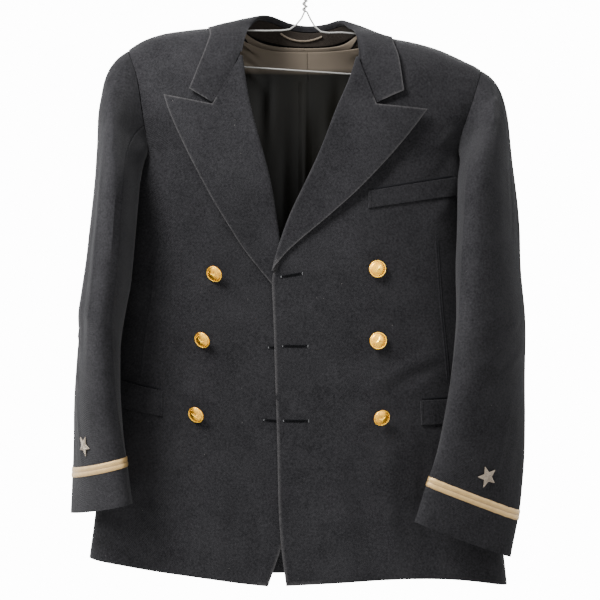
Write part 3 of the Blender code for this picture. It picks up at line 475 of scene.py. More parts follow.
# %% Creases of the sleeves
SLEEVE_CREASES = {
    "left": [
        # angle0, z0, angle1, z1, bow, width, height
        (30, 306, -36, 262, 6, 6, 2.0),
        (40, 288, -20, 246, 5, 5, -1.5),
        (-30, 330, 20, 352, 4, 6, 1.4),
        (70, 345, 10, 330, -5, 7, 1.3),
        (96, 300, 40, 272, 6, 7, 1.3),
        (20, 560, 10, 400, 8, 9, 1.6),
        (48, 600, 38, 430, -8, 9, -1.3),
        (112, 560, 108, 330, 8, 10, 1.3),
        (-14, 520, 24, 470, 5, 6, -1.2),
        (60, 240, 44, 110, 5, 9, 1.2),
        (96, 230, 86, 90, -6, 9, -1.1),
        (176, 340, 226, 300, 5, 7, 1.6),
        (170, 300, 220, 262, 5, 6, -1.3),
        (186, 520, 200, 380, 8, 9, 1.4),
        (240, 420, 300, 380, 5, 7, 1.0),
    ],
    "right": [
        (14, 568, 10, 270, 3, 3, 3.0),
        (25, 560, 22, 290, 3, 4, -2.6),
        (38, 548, 36, 300, 3, 4, 2.0),
        (-14, 500, -8, 380, -4, 7, -1.2),
        (84, 322, 30, 300, 5, 6, 2.2),
        (88, 300, 36, 284, 4, 5, -1.5),
        (80, 284, 40, 256, 5, 6, 1.6),
        (30, 350, -20, 322, 5, 6, 1.5),
        (50, 600, 44, 420, 8, 9, -1.4),
        (74, 560, 76, 400, -8, 9, 1.4),
        (110, 520, 104, 330, 8, 9, 1.3),
        (60, 250, 56, 140, 5, 8, 1.2),
        (100, 240, 92, 130, -6, 9, -1.1),
        (176, 350, 226, 310, 5, 7, 1.6),
        (172, 308, 222, 274, 5, 6, -1.3),
        (188, 520, 198, 400, 8, 9, 1.4),
    ],
}
MM_PER_DEGREE = 0.85
INNER_SIDE, INNER_SPAN = 285.0, 42.0    # where a sleeve faces the body, and how wide that side is
INNER_FULLNESS = {"left": 6.0, "right": 8.0}
FULLNESS_SPAN = {"left": (330, 580), "right": (300, 580)}
HEAD_PUCKERS = range(-20, 200, 22)      # the turns at which the gathered head puckers
HEAD_FROM, HEAD_TO = (560, 600), (668, 700)


# %% All creases of a sleeve together
def sleeve_creases(points, side):
    """Outward moves for a sleeve. On its inner side it fills out to meet the body."""
    dx, dy = from_sleeve_middle(points, side)
    z = points[:, 2]
    sign = 1 if side == "left" else -1
    turn = np.degrees(np.arctan2(sign * dx, -dy))
    rows = [(a0 * MM_PER_DEGREE, z0, a1 * MM_PER_DEGREE, z1, *rest)
            for a0, z0, a1, z1, *rest in SLEEVE_CREASES[side]]
    total = np.zeros(len(points))
    for turned in (0, 360):
        total += press_creases((turn + turned) * MM_PER_DEGREE, z, rows)
    head = np.zeros(len(points))
    for angle in HEAD_PUCKERS:
        near = np.exp(-((turn - angle) / 5.0) ** 2)
        head += 0.7 * near * ramp(z, *HEAD_FROM) * (1 - ramp(z, *HEAD_TO))
    inside = np.exp(-(((turn - INNER_SIDE + 180) % 360 - 180) / INNER_SPAN) ** 2)
    low, high = FULLNESS_SPAN[side]
    full = ramp(z, low, low + 90) * (1 - ramp(z, high - 30, high))
    fullness = INNER_FULLNESS[side] * inside * full
    return total * (1 - ramp(z, 560, 640) * 0.6) + head * 0.6 + fullness


# %% [markdown]
# ## From a faceted wall to cloth
# A solid's wall has a point every 25 mm. Its triangles are joined to quads, its rim is marked as a
# crease, and two or three rounds of Catmull-Clark subdivision round the form between. Then the creases
# are pressed in, and a small bevel turns the cut edge into a folded one that catches the light.

# %% Rounding a wall
RIM_ANGLE = math.radians(50)


def mesh_of(shape, name):
    """A bmesh as a mesh. The bmesh is freed."""
    mesh = bpy.data.meshes.new(name)
    shape.to_mesh(mesh)
    shape.free()
    return mesh


def put_in_scene(name, data):
    made = bpy.data.objects.new(name, data)
    bpy.context.scene.collection.objects.link(made)
    return made


def sharp_edges(shape):
    return [e for e in shape.edges if len(e.link_faces) == 2 and e.calc_face_angle(0.0) > RIM_ANGLE]


def rounded_copy(node, levels):
    """A node's wall with its points merged and its form rounded, the rim kept."""
    shape = bmesh.new()
    shape.from_mesh(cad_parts[node].data)
    bmesh.ops.remove_doubles(shape, verts=shape.verts, dist=2e-6)
    bmesh.ops.join_triangles(shape, faces=shape.faces, angle_face_threshold=math.radians(40),
                             angle_shape_threshold=math.radians(70))
    held = shape.edges.layers.float.new("crease_edge")
    for edge in sharp_edges(shape):
        edge[held] = 1.0
    mesh = mesh_of(shape, f"{node}_coarse")
    coarse = put_in_scene(f"{node}_coarse", mesh)
    rounding = coarse.modifiers.new("Rounding", "SUBSURF")
    rounding.levels = rounding.render_levels = levels
    graph = bpy.context.evaluated_depsgraph_get()
    fine = bpy.data.meshes.new_from_object(coarse.evaluated_get(graph))
    bpy.data.objects.remove(coarse)
    bpy.data.meshes.remove(mesh)
    return fine


# %% Placing a piece
def new_piece(name, mesh, materials, nodes=()):
    """A finished piece of the jacket, which rides on its one body."""
    mesh.materials.clear()
    for material in materials:
        mesh.materials.append(material)
    made = put_in_scene(name, mesh)
    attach(made, "root")
    if nodes:
        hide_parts(*nodes)
    return made


# %% Pressing, folding and lining
WORN_HIGHLIGHT_REACH = 0.0013                     # metres from a free edge over which the cloth is painted paler, as rubbed wear and a painted highlight
RIM_ROUND = 0.0005
WANDER, WANDER_SPAN, RIPPLE, RIPPLE_SPAN = 0.55, 70.0, 0.4, 26.0
INWARD = -0.25                          # a face that looks this far inwards shows the lining's colour


def mark_worn_and_highlight(shape, rim, reach):
    """Cloth is painted paler along its free edges, as rubbed wear and a painted highlight: a mesh attribute
    falls off from them.
    """
    worn_highlight = shape.verts.layers.float.new("worn_highlight")
    near = kdtree.KDTree(len(rim))
    for order, place in enumerate(rim):
        near.insert(place, order)
    near.balance()
    for vertex in shape.verts:
        vertex[worn_highlight] = math.exp(-(near.find(vertex.co)[2] / reach) ** 2)


def press_cloth(mesh, creases, way_out, settle):
    """Move a mesh's points outwards by its creases, and by a little that wanders over the cloth."""
    places = np.empty(3 * len(mesh.vertices))
    mesh.vertices.foreach_get("co", places)
    points = in_mm(places.reshape(-1, 3))
    points = settle(points) if settle else points
    wander = np.array([noise.noise(Vector(p) / WANDER_SPAN) + RIPPLE * noise.noise(Vector(p) / RIPPLE_SPAN)
                       for p in points])
    moved = points + way_out(points) * (creases(points) + WANDER * wander)[:, None]
    moved[:, 2] -= HOOK_HEIGHT
    mesh.vertices.foreach_set("co", (moved * MM).ravel())


def fold_edges(shape):
    """Turn the cut edges into folded ones, and return places along them."""
    edges = sharp_edges(shape)
    rim = [a.co + (b.co - a.co) * k / 3 for a, b in (e.verts for e in edges) for k in range(3)]
    bmesh.ops.bevel(shape, geom=edges, offset=RIM_ROUND, offset_type="OFFSET", segments=2, profile=0.5,
                    affect="EDGES", clamp_overlap=True, material=-1)
    return rim


def line_inside(shape, way_out):
    """Faces that look inwards get the piece's second material."""
    shape.normal_update()
    middles = np.array([face.calc_center_median() for face in shape.faces])
    facing = np.array([face.normal for face in shape.faces])
    inward = (facing * way_out(in_mm(middles))).sum(axis=1) < INWARD
    for face, is_inner in zip(shape.faces, inward):
        face.smooth = True
        face.material_index = int(is_inner)


# %% [markdown]
# Every cloth piece is made in the same steps, so one function takes them in turn. It also keeps a tree
# of the finished surface, because stitches and lace are laid on it later.

# %% One cloth piece
cloth_trees = {}


def cloth_piece(node, levels, creases, way_out, outer, inner, free=None, settle=None):
    """Round a cloth node, press its creases and put its lining colour inside.

    The test called free picks the cut edges, in millimetres, that are painted paler as rubbed wear and a
    painted highlight. A function called settle shifts the piece first, before its creases are pressed.
    """
    mesh = rounded_copy(node, levels)
    press_cloth(mesh, creases, way_out, settle)
    shape = bmesh.new()
    shape.from_mesh(mesh)
    rim = fold_edges(shape)
    line_inside(shape, way_out)
    cloth_trees[node] = BVHTree.FromBMesh(shape)
    # the edges that get the painted highlight and the wear
    rubbed_and_highlit = [place for place in rim if free and free(place.x / MM, place.z / MM + HOOK_HEIGHT)]
    if rubbed_and_highlit:
        mark_worn_and_highlight(shape, rubbed_and_highlit, WORN_HIGHLIGHT_REACH)
    shape.to_mesh(mesh)
    shape.free()
    made = new_piece(f"{node}_cloth", mesh, (outer, inner), (node,))
    print(made.name, len(mesh.polygons), "faces")
    return made


# %% [markdown]
# ## Fronts and back
# Two fronts lap over each other at the middle, and two half backs meet in the centre seam.


# %% [markdown]
# The solids stop a hair before each seam. Each panel is taken in by that much where it meets the next,
# and fades back to its own form within a few millimetres.

# %% Closing the seams
SEAM_TAKE, SEAM_NEAR = 0.35, 3.0
NECK_LEVEL = -0.160                     # in metres: above it a back shows lining where it faces forwards
FORWARD = -0.3


def front_edge(x, z):
    return -60 < x < 20 and z < 440


def seam_take(away):
    return SEAM_TAKE * np.exp(-(away / SEAM_NEAR) ** 2)


def close_front(points):
    """Take a front in to the side and shoulder seams, which lie at y = 0."""
    moved = points.copy()
    moved[:, 1] += seam_take(points[:, 1])
    return moved


def close_back(points):
    """Take a back in to the same seams and to the centre seam."""
    moved = points.copy()
    moved[:, 1] -= seam_take(points[:, 1])
    moved[:, 0] -= np.sign(points[:, 0]) * seam_take(points[:, 0])
    return moved


for panel in ("front_left", "front_right"):
    made = cloth_piece(panel, 3, body_creases, out_of_body, navy_serge, satin_lining, free=front_edge,
                       settle=close_front)
for panel in ("back_left", "back_right"):
    made = cloth_piece(panel, 2, body_creases, out_of_body, navy_serge, satin_lining, settle=close_back)
    for face in made.data.polygons:
        if face.center.z > NECK_LEVEL and face.normal.y < FORWARD:
            face.material_index = 1

# %% [markdown]
# ## Lapels and collar
# The lapel is the front folded back over itself, with a soft roll and no pressed edge. The collar's
# fall turns over the stand at the neck. Both keep the cloth's outer face on every side that shows.

# %% Roll of lapels and collar
ROLLS = {
    # top and bottom of the roll line, then the way out across the lapel
    "left": ((60, 664), (-37, 413), 1),
    "right": ((-72, 664), (-37, 413), -1),
}
STAND_OFF = 6.0                         # how far the outer edge stands off the fronts
ROLL_REACH = (12, 90)                   # distances from the roll line between which it comes off
TOWARDS_FRONT = (0, -45)
BELOW_NECK = (715, 670)


def rolled_creases(points):
    """The body's creases, with lapels and collar standing off the fronts towards their edges."""
    x, y, z = points.T
    lift = np.zeros_like(x)
    for top, bottom, sign in ROLLS.values():
        run = math.hypot(bottom[0] - top[0], bottom[1] - top[1])
        aside = ((x - top[0]) * (top[1] - bottom[1]) - (z - top[1]) * (top[0] - bottom[0])) / run
        lift = np.maximum(lift, ramp(sign * aside, *ROLL_REACH))
    return body_creases(points) + STAND_OFF * lift * ramp(y, *TOWARDS_FRONT) * ramp(z, *BELOW_NECK)


# %% [markdown]
# The collar meets the lapel along the gorge seam, and the notch opens where the two part. The solid's
# corner is blunt once it is rounded, so the collar's point settles down to the seam's end.

# %% Gorge and collar point
GORGES = {
    # sign of x, then heights and distances from the middle along the seam
    "left": (1, (618, 674), (92, 69)),
    "right": (-1, (616, 681), (118, 82)),
}
COLLAR_SHIFTS = {
    # x and z of the point's shift, and how far the outer edge comes in by the shoulder
    "left": (-7.5, -6.5, -5.0),
    "right": (6.5, -4.5, 10.0),
}
POINT_LEVELS = (690, 634)               # the shift grows between these heights
SEAM_RISE, SEAM_SPAN = 1.1, 9


def settle_collar(points):
    """Shift the collar's points down to the gorge seam and tuck the seam itself in."""
    x, y, z = points.T
    moved = points.copy()
    for side, (dx, dz, narrow) in COLLAR_SHIFTS.items():
        sign, heights, places = GORGES[side]
        beyond = sign * x - np.interp(z, heights, places)
        in_front = ramp(sign * x, 40, 70) * ramp(y, 0, -30)
        low = ramp(z, *POINT_LEVELS)
        moved[:, 0] += in_front * (dx * low + narrow * ramp(beyond, 10, 50) * (1 - low))
        moved[:, 1] += in_front * SEAM_RISE * np.exp(-(beyond / SEAM_SPAN) ** 2)
        moved[:, 2] += in_front * dz * low
    return moved


# %% [markdown]
# Lapels and collar are painted paler at their free edges, as rubbed wear and a painted highlight, but not
# where they are sewn to each other.
# They have cloth on both sides, and the collar's inner side and its stand have a browner one.

# %% Lapels, collar and stand
LAPEL_CORNER, CLEAR_OF_GORGE = 622, 9


def collar_edge(x, z):
    sign, heights, places = GORGES["left" if x > 0 else "right"]
    return sign * x > np.interp(z, heights, places) + CLEAR_OF_GORGE


def lapel_edge(x, z):
    return z < LAPEL_CORNER or collar_edge(x, z)


for side in ("left", "right"):
    made = cloth_piece(f"lapel_{side}", 3, rolled_creases, out_of_body, navy_serge, navy_serge,
                       free=lapel_edge)
made = cloth_piece("collar_fall", 3, rolled_creases, out_of_body, navy_serge, collar_cloth, free=collar_edge,
                   settle=settle_collar)
made = cloth_piece("collar_stand", 2, body_creases, out_of_body, collar_cloth, collar_cloth)

# %% [markdown]
# A welt is a folded strip of cloth that stands up over a pocket's mouth. It lies flat on the front, so
# it takes the front's creases, and is sunk a little to close the gap under it.

# %% Pocket welts
WELT_SINK = 0.8


def welt_creases(points):
    return body_creases(points) - WELT_SINK


for welt, front in (("breast_welt", "front_left"), ("hip_welt_left", "front_left"),
                    ("hip_welt_right", "front_right")):
    made = cloth_piece(welt, 3, welt_creases, out_of_body, navy_serge, navy_serge)

# %% [markdown]
# ## Sleeves and lining
# A tailored sleeve is a wide top sleeve and a narrow under sleeve, and curves forward at the elbow.
# Inside the neck the satin lining hangs free with a pleat at the middle of the back.

# %% Sleeves
def for_side(rule, side):
    """A sleeve's rule with its side settled."""
    return lambda points: rule(points, side)


for side in ("left", "right"):
    for part, levels in (("top", 3), ("under", 2)):
        node = f"sleeve_{part}_{side}"
        made = cloth_piece(node, levels, for_side(sleeve_creases, side), for_side(out_of_sleeve, side),
                           navy_serge, satin_lining)

# %% Lining
LINING_CREASES = [
    # x0, z0, x1, z1, bow, width, height
    (-38, 690, -44, 560, 5, 6, -2.0),
    (-62, 680, -70, 480, -6, 8, 1.6),
    (-22, 650, -26, 420, 4, 7, 1.4),
    (24, 660, 30, 450, -4, 8, -1.8),
    (46, 680, 58, 520, 5, 7, 1.5),
    (90, 640, 104, 420, 6, 10, -1.6),
    (-104, 640, -116, 400, -6, 10, 1.6),
]


QUIET_ABOVE = (690, 660)
LINING_RISE = 1.2                       # the most that a crease may rise towards the cloth


def lining_creases(points):
    """The lining's own creases, and those of the cloth that push it inwards."""
    own = np.minimum(press_creases(points[:, 0], points[:, 2], LINING_CREASES), LINING_RISE)
    return own * ramp(points[:, 2], *QUIET_ABOVE) + np.minimum(body_creases(points), 0.0)


for side in ("left", "right"):
    made = cloth_piece(f"lining_back_{side}", 3, lining_creases, out_of_body, satin_lining, satin_lining)

# %% [markdown]
# ## Sewing on the cloth
# Darts, buttonholes and tacks are laid on the finished cloth, so they follow each crease. A ray from
# in front of the jacket finds the cloth's surface and its normal at any place on the flat drawing.

# %% Finding the surface
CENTRE_NEAR = 1.5                       # within this of the back's centre seam both halves are asked
FAR_OFF = 300                           # rays start this far before or behind the jacket's middle


def cast(tree, start, way):
    hit, normal, _, _ = tree.ray_cast(start, way)
    if hit is None:
        raise RuntimeError(f"no cloth at {tuple(round(v, 4) for v in start)}")
    return hit, normal if normal.dot(way) < 0 else -normal


def on_front(panel, x, z, lift=0.0):
    """A point on the outer face of a front, lifted off it in millimetres."""
    hit, normal = cast(cloth_trees[panel], at(x, -FAR_OFF, z), Vector((0, 1, 0)))
    return hit + normal * lift * MM


def on_back(panel, x, z, lift=0.0):
    """The same on the outer face of a back. On its centre seam the faces beside it are averaged."""
    found = []
    for side, sign in (("left", 1), ("right", -1)):
        if sign * x > -CENTRE_NEAR:
            start = at(sign * max(sign * x, CENTRE_NEAR), FAR_OFF, z)
            found.append(cast(cloth_trees[f"back_{side}"], start, Vector((0, -1, 0))))
    hit = sum((place for place, _ in found), Vector()) / len(found)
    return Vector((x * MM, hit.y, hit.z)) + found[0][1] * lift * MM


def along(points, step):
    """Places every step along a line of points on the flat drawing."""
    found = []
    for (x0, z0), (x1, z1) in zip(points, points[1:]):
        count = max(int(math.hypot(x1 - x0, z1 - z0) / step), 1)
        found += [(x0 + (x1 - x0) * k / count, z0 + (z1 - z0) * k / count) for k in range(count)]
    return found + [points[-1]]


# %% [markdown]
# A strip of cloth or lace begins as a grid. Its points are then set in rows across a path, each row
# with the strip's section, and Solidify gives it a body. The grid keeps a UV map that runs in metres
# along and across the strip, which the lace's pattern follows.

# %% Strips
THIN = -0.0004                          # a strip's thickness in metres, laid inwards
STEP = 4.0                              # millimetres between two rows
SOFT_CORNER = math.radians(50)


def strip(name, rows, thickness, length, width, material, nodes=()):
    """A strip through rows of points, closed by its own thickness."""
    shape = bmesh.new()
    unwrapped = shape.loops.layers.uv.new("UVMap")
    bmesh.ops.create_grid(shape, x_segments=len(rows) - 1, y_segments=len(rows[0]) - 1, size=1.0,
                          calc_uvs=False)
    ordered = sorted(shape.verts, key=lambda v: (round(v.co.x, 4), round(v.co.y, 4)))
    across = len(rows[0])
    for order, vertex in enumerate(ordered):
        vertex.index = order
        vertex.co = rows[order // across][order % across]
    for face in shape.faces:
        for corner in face.loops:
            place = corner.vert.index
            corner[unwrapped].uv = (place // across / (len(rows) - 1) * length,
                                    place % across / (across - 1) * width)
    bmesh.ops.remove_doubles(shape, verts=shape.verts, dist=1e-6)
    bmesh.ops.recalc_face_normals(shape, faces=shape.faces)
    bmesh.ops.solidify(shape, geom=shape.faces, thickness=thickness)
    bmesh.ops.recalc_face_normals(shape, faces=shape.faces)
    for face in shape.faces:
        face.smooth = True
    mesh = mesh_of(shape, name)
    mesh.set_sharp_from_angle(angle=SOFT_CORNER)
    return new_piece(name, mesh, (material,), nodes)


# %% [markdown]
# A lining is cut wider than the cloth, and the spare width lies in a fold over its centre seam, from the
# neck down to the closed fronts. The fold is one strip from half to half that rises in the middle.

# %% Lining pleat
PLEAT_HALF, PLEAT_TOP, PLEAT_END = 9, 656, 416
PLEAT_RISES = (0.0, 0.6, 1.4, 2.0, 2.2, 1.6, 0.9, 0.4, 0.0)
rows = []
for z in range(PLEAT_TOP, PLEAT_END, -int(STEP)):
    left = on_front("lining_back_left", PLEAT_HALF, z, 0.3)
    right = on_front("lining_back_right", -PLEAT_HALF, z, 0.3)
    rows.append([right.lerp(left, k / (len(PLEAT_RISES) - 1)) - Vector((0, rise * MM, 0))
                 for k, rise in enumerate(PLEAT_RISES)])
pleat = strip("lining_pleat", rows, THIN, len(rows) * STEP * MM, 2 * PLEAT_HALF * MM, satin_lining)
print(pleat.name, len(rows), "rows")

# %% [markdown]
# Seams, darts and slits are narrow strips that follow a line on the flat drawing. Each row is cast on
# the cloth point by point. A strip narrows and sinks over its last two rows, so it ends in the cloth.

# %% Strips on a panel
STRIP_SINK = 0.12


def laid_strip(name, panel, line, half_width, section, material, surface=on_front):
    """A strip on a panel: section gives pairs of place across, from -1 to 1, and lift in mm."""
    places = along(line, STEP)
    rows = []
    for order, (x, z) in enumerate(places):
        before, after = places[max(order - 1, 0)], places[min(order + 1, len(places) - 1)]
        run = Vector((after[0] - before[0], after[1] - before[1])).normalized()
        end = min(order, len(places) - 1 - order, 2) / 2
        narrow = half_width * (0.25 + 0.75 * end)
        rows.append([surface(panel, x + run.y * s * narrow, z - run.x * s * narrow, lift * end - STRIP_SINK)
                     for s, lift in section])
    length = len(places) * STEP * MM
    return strip(name, rows, THIN, length, 2 * half_width * MM, material)


# %% [markdown]
# ## Darts and pocket mouths
# Each front is shaped by one long dart from under the arm to the pocket. Pressed open inside, a dart
# shows as two faint ridges with the seam between them. Above each hip welt the pocket's mouth is a dark strip
# of painted shade.

# %% Darts
DARTS = {
    "dart_right": ("front_right", [(-186, 452), (-199, 360), (-207, 311), (-211, 268)]),
    "dart_left": ("front_left", [(168, 446), (174, 360), (179, 309), (184, 256)]),
}
RIDGES = [(-1.0, 0.0), (-0.6, 0.42), (-0.22, 0.3), (0.0, 0.02), (0.22, 0.3), (0.6, 0.42), (1.0, 0.0)]
DART_LINE = [(-1, 0.2), (0, 0.32), (1, 0.2)]
for name, (panel, line) in DARTS.items():
    laid_strip(name, panel, line, 2.6, RIDGES, navy_serge)
    laid_strip(f"{name}_seam", panel, line, 0.5, DART_LINE, dark_thread_and_shade)

# %% Centre back seam
BACK_SEAM = [(0, 680), (0.6, 560), (-0.4, 300), (0, 16)]
BACK_LINE = [(-1, 0.25), (0, 0.4), (1, 0.25)]
laid_strip("centre_back_ridges", "back", BACK_SEAM, 3.2, RIDGES, navy_serge, surface=on_back)
laid_strip("centre_back_seam", "back", BACK_SEAM, 0.6, BACK_LINE, dark_thread_and_shade, surface=on_back)

# %% Pocket mouths
MOUTH_SHADES = {
    "pocket_mouth_shade_left": ("front_left", [(149, 238.5), (184, 240), (213, 241.5)]),
    "pocket_mouth_shade_right": ("front_right", [(-184, 250.5), (-210, 256), (-234, 261.5)]),
    "pocket_mouth_shade_breast": ("front_left", [(82, 505), (136, 514.5), (190, 524)]),
}
MOUTH_SHADE_LINE = [(-1, 0.1), (-0.4, 0.3), (0.4, 0.3), (1, 0.1)]
# each mouth is a dark strip of painted shade where the pocket opens
for name, (panel, line) in MOUTH_SHADES.items():
    laid_strip(name, panel, line, 1.0, MOUTH_SHADE_LINE, dark_thread_and_shade)
print(len(DARTS), "darts,", len(MOUTH_SHADES), "pocket mouths")

# %% [markdown]
# ## Stitches
# A stitch is a short rod of thread with its ends in the cloth. One mesh holds all the stitches of a
# buttonhole or a tack, because each is only a few faces and none moves alone.

# %% Rods of thread
def add_rod(shape, start, end, radius, sides=6):
    """A closed rod between two points, its radius in millimetres."""
    way = end - start
    turn = way.to_track_quat("Z", "Y").to_matrix().to_4x4()
    middle = Matrix.Translation((start + end) / 2)
    bmesh.ops.create_cone(shape, cap_ends=True, segments=sides, radius1=radius * MM, radius2=radius * MM,
                          depth=way.length, matrix=middle @ turn)


def finish_rods(name, shape, material, nodes=()):
    """Rods as one piece, round along their sides and flat at their ends."""
    for face in shape.faces:
        face.smooth = len(face.verts) == 4
    return new_piece(name, mesh_of(shape, name), (material,), nodes)


# %% [markdown]
# ## Buttonholes
# A tailor's buttonhole is a slit edged with close purl stitches, with a round eye where the button's
# shank sits and a bar at the other end. Three show on the overlapping front, and the ends of two in the
# front beneath show beside its edge.

# %% Working the buttonholes
HOLES = [
    # front, x and z of the eye, x and z of the bar
    ("front_left", -30, 394, -4, 398),
    ("front_left", -28, 306, 3, 306),
    ("front_left", -27, 211, 4, 211),
    ("front_right", -46, 304, -20, 304),
    ("front_right", -52, 212, -26, 210),
]
HOLE_HALF, EYE_RADIUS, EYE_STITCHES, EYE_OPEN = 1.7, 2.3, 20, 0.9
PURL_PITCH, PURL_RADIUS, PURL_INNER, PURL_WANDER = 0.62, 0.24, 0.3, 0.12
END_PITCH, BAR_LENGTH, EYE_END_LENGTH, EYE_END_BACK = 0.5, 1.3, 1.6, 1.2
# How far a stitch's foot and its head stand off the cloth, in millimetres
PURL_LIFTS, EDGE_LIFTS, BAR_LIFTS, EYE_END_LIFTS = (0.12, 0.3), (0.2, 0.2), (0.25, 0.35), (0.3, 0.4)
SLIT = [(-1, 0.7), (0, 0.85), (1, 0.7)]
SLIT_HALF, SLIT_START = 0.95, 0.6


def buttonhole(name, panel, eye, bar):
    """Purl round the eye and along both sides, a thread along each edge, two ends in a lighter thread that is
    a painted highlight, and a dark strip of painted shade in the slit.
    """
    eye, bar = Vector(eye), Vector(bar)
    run = bar - eye
    length = run.length
    run.normalize()
    side = Vector((-run.y, run.x))

    def stitch(shape, foot, head, low, high):
        add_rod(shape, on_front(panel, *foot, low), on_front(panel, *head, high), PURL_RADIUS)

    worked = bmesh.new()
    for order in range(int((length - EYE_RADIUS) / PURL_PITCH)):
        centre = eye + run * (EYE_RADIUS + order * PURL_PITCH)
        for sign in (-1, 1):
            wander = PURL_WANDER * math.sin(order * 2.3 + sign)
            head = centre + side * sign * (HOLE_HALF + wander)
            stitch(worked, centre + side * sign * PURL_INNER, head, *PURL_LIFTS)
    for order in range(EYE_STITCHES):
        turn = 2 * math.pi * order / EYE_STITCHES
        way = run * math.cos(turn) + side * math.sin(turn)
        stitch(worked, eye + way * EYE_OPEN, eye + way * EYE_RADIUS, *PURL_LIFTS)
    for sign in (-1, 1):
        edge = [eye + run * (EYE_RADIUS + f * (length - EYE_RADIUS)) + side * sign * HOLE_HALF
                for f in (0, 0.25, 0.5, 0.75, 1)]
        for start, end in zip(edge, edge[1:]):
            stitch(worked, start, end, *EDGE_LIFTS)
    finish_rods(name, worked, dark_thread_and_shade)
    # the ends get the lighter thread, a painted highlight
    ends = bmesh.new()
    for order in range(-3, 4):
        start = bar + side * order * END_PITCH
        stitch(ends, start, start + run * BAR_LENGTH, *BAR_LIFTS)
    for order in range(-2, 3):
        start = eye + side * order * END_PITCH - run * EYE_END_BACK
        stitch(ends, start, start + run * EYE_END_LENGTH, *EYE_END_LIFTS)
    finish_rods(f"{name}_ends", ends, end_thread_highlight)
    # the slit is a dark strip of painted shade
    slit = [tuple(eye - run * SLIT_START), tuple(bar)]
    laid_strip(f"{name}_slit", panel, slit, SLIT_HALF, SLIT, painted_slit_shade)
    print(name, round(length, 1), "mm from eye to bar")


for order, (panel, x0, z0, x1, z1) in enumerate(HOLES, 1):
    buttonhole(f"buttonhole_{order}", panel, (x0, z0), (x1, z1))

# %% [markdown]
# The ends of each welt are sewn down with a line of hand stitches, which stop the pocket's corners from
# tearing. They are the same rods, laid on top of the welt.

# %% Tacks at the pocket corners
TACKS = [
    # front, then both ends of the line of stitches
    ("front_left", (83, 503), (83, 483)),
    ("front_left", (189, 520), (194, 501)),
    ("front_left", (149.5, 234), (150.5, 208)),
    ("front_right", (-184.5, 246), (-184.5, 219)),
]
WELT_TOP = 2.6                          # how far a welt's face stands off the front
TACK_PITCH, TACK_FROM, TACK_TO, TACK_RADIUS = 2.2, 0.2, 0.75, 0.22
tacks = bmesh.new()
for panel, start, end in TACKS:
    run = Vector(end) - Vector(start)
    count = int(run.length / TACK_PITCH)
    for order in range(count):
        first = Vector(start) + run * (order + TACK_FROM) / count
        last = Vector(start) + run * (order + TACK_TO) / count
        add_rod(tacks, on_front(panel, *first, WELT_TOP), on_front(panel, *last, WELT_TOP), TACK_RADIUS)
sewn = finish_rods("pocket_tacks", tacks, dark_thread_and_shade)
print(sewn.name, len(sewn.data.polygons), "faces")

# %% [markdown]
# ## Gilt buttons
# A uniform's buttons are domed and stamped with a raised design. This one is a plain eight-pointed
# rosette in a ring of beads, inside a rope rim. The dome is spun from its profile, the rope is a ring
# spun from a small circle and then twisted, and the rosette is a cone whose base points are drawn in by
# turns.

# %% One button
BUTTON_RADIUS = 11.1
DOME_PROFILE = [
    # radius and height in millimetres
    (0.0, 7.9), (3.2, 7.75), (5.8, 7.2), (7.8, 6.4), (9.0, 5.6), (9.5, 5.0), (10.2, 4.9), (10.9, 4.9),
    (11.1, 4.5), (10.8, 3.9), (9.0, 3.6), (2.4, 3.4), (2.2, -1.8), (0.0, -1.8),
]


def dome_height(radius):
    top = DOME_PROFILE[:7]
    return float(np.interp(radius, [r for r, _ in top], [z for _, z in top]))


def merge_into(whole, part):
    """Add one bmesh to another and free it."""
    mesh = mesh_of(part, "part")
    whole.from_mesh(mesh)
    bpy.data.meshes.remove(mesh)


def full_spin(shape, geom, steps):
    bmesh.ops.spin(shape, geom=geom, cent=(0, 0, 0), axis=(0, 0, 1), angle=2 * math.pi, steps=steps,
                   use_merge=True)


def spun(profile, steps):
    shape = bmesh.new()
    line = [shape.verts.new((r, 0, z)) for r, z in profile]
    full_spin(shape, line + [shape.edges.new(pair) for pair in zip(line, line[1:])], steps)
    bmesh.ops.remove_doubles(shape, verts=shape.verts, dist=1e-4)
    bmesh.ops.recalc_face_normals(shape, faces=shape.faces)
    return shape


# %% Rope rim
STRAND_BULGE = 0.22


def rope_ring(radius, height, thick, twists):
    """A ring of rope: a spun circle whose strands bulge as they go round it."""
    shape = bmesh.new()
    stood_up = Matrix.Translation((radius, 0, height)) @ Matrix.Rotation(math.pi / 2, 4, "X")
    circle = bmesh.ops.create_circle(shape, segments=10, radius=thick, matrix=stood_up)["verts"]
    full_spin(shape, circle + list(shape.edges), 160)
    for vertex in shape.verts:
        round_rim = math.atan2(vertex.co.y, vertex.co.x)
        middle = Vector((math.cos(round_rim), math.sin(round_rim), 0)) * radius + Vector((0, 0, height))
        out = vertex.co - middle
        round_rope = math.atan2(out.z, vertex.co.xy.length - radius)
        vertex.co = middle + out * (1 + STRAND_BULGE * math.cos(twists * round_rim + 2 * round_rope))
    bmesh.ops.recalc_face_normals(shape, faces=shape.faces)
    return shape


# %% Rosette and beads
ROSETTE_RADIUS, ROSETTE_DEPTH, ROSETTE_MIDDLE = 6.6, 2.0, 7.7
ROSETTE_TOP, ROSETTE_UNDER, ROSETTE_LIFT = 9.0, 6.9, 0.35
LONG_POINT, SHORT_POINT, NOTCH = 1.0, 0.76, 0.24
BEADS, BEAD_RADIUS, BEAD_RING, BEAD_HEIGHT = 20, 0.6, 7.9, 6.45


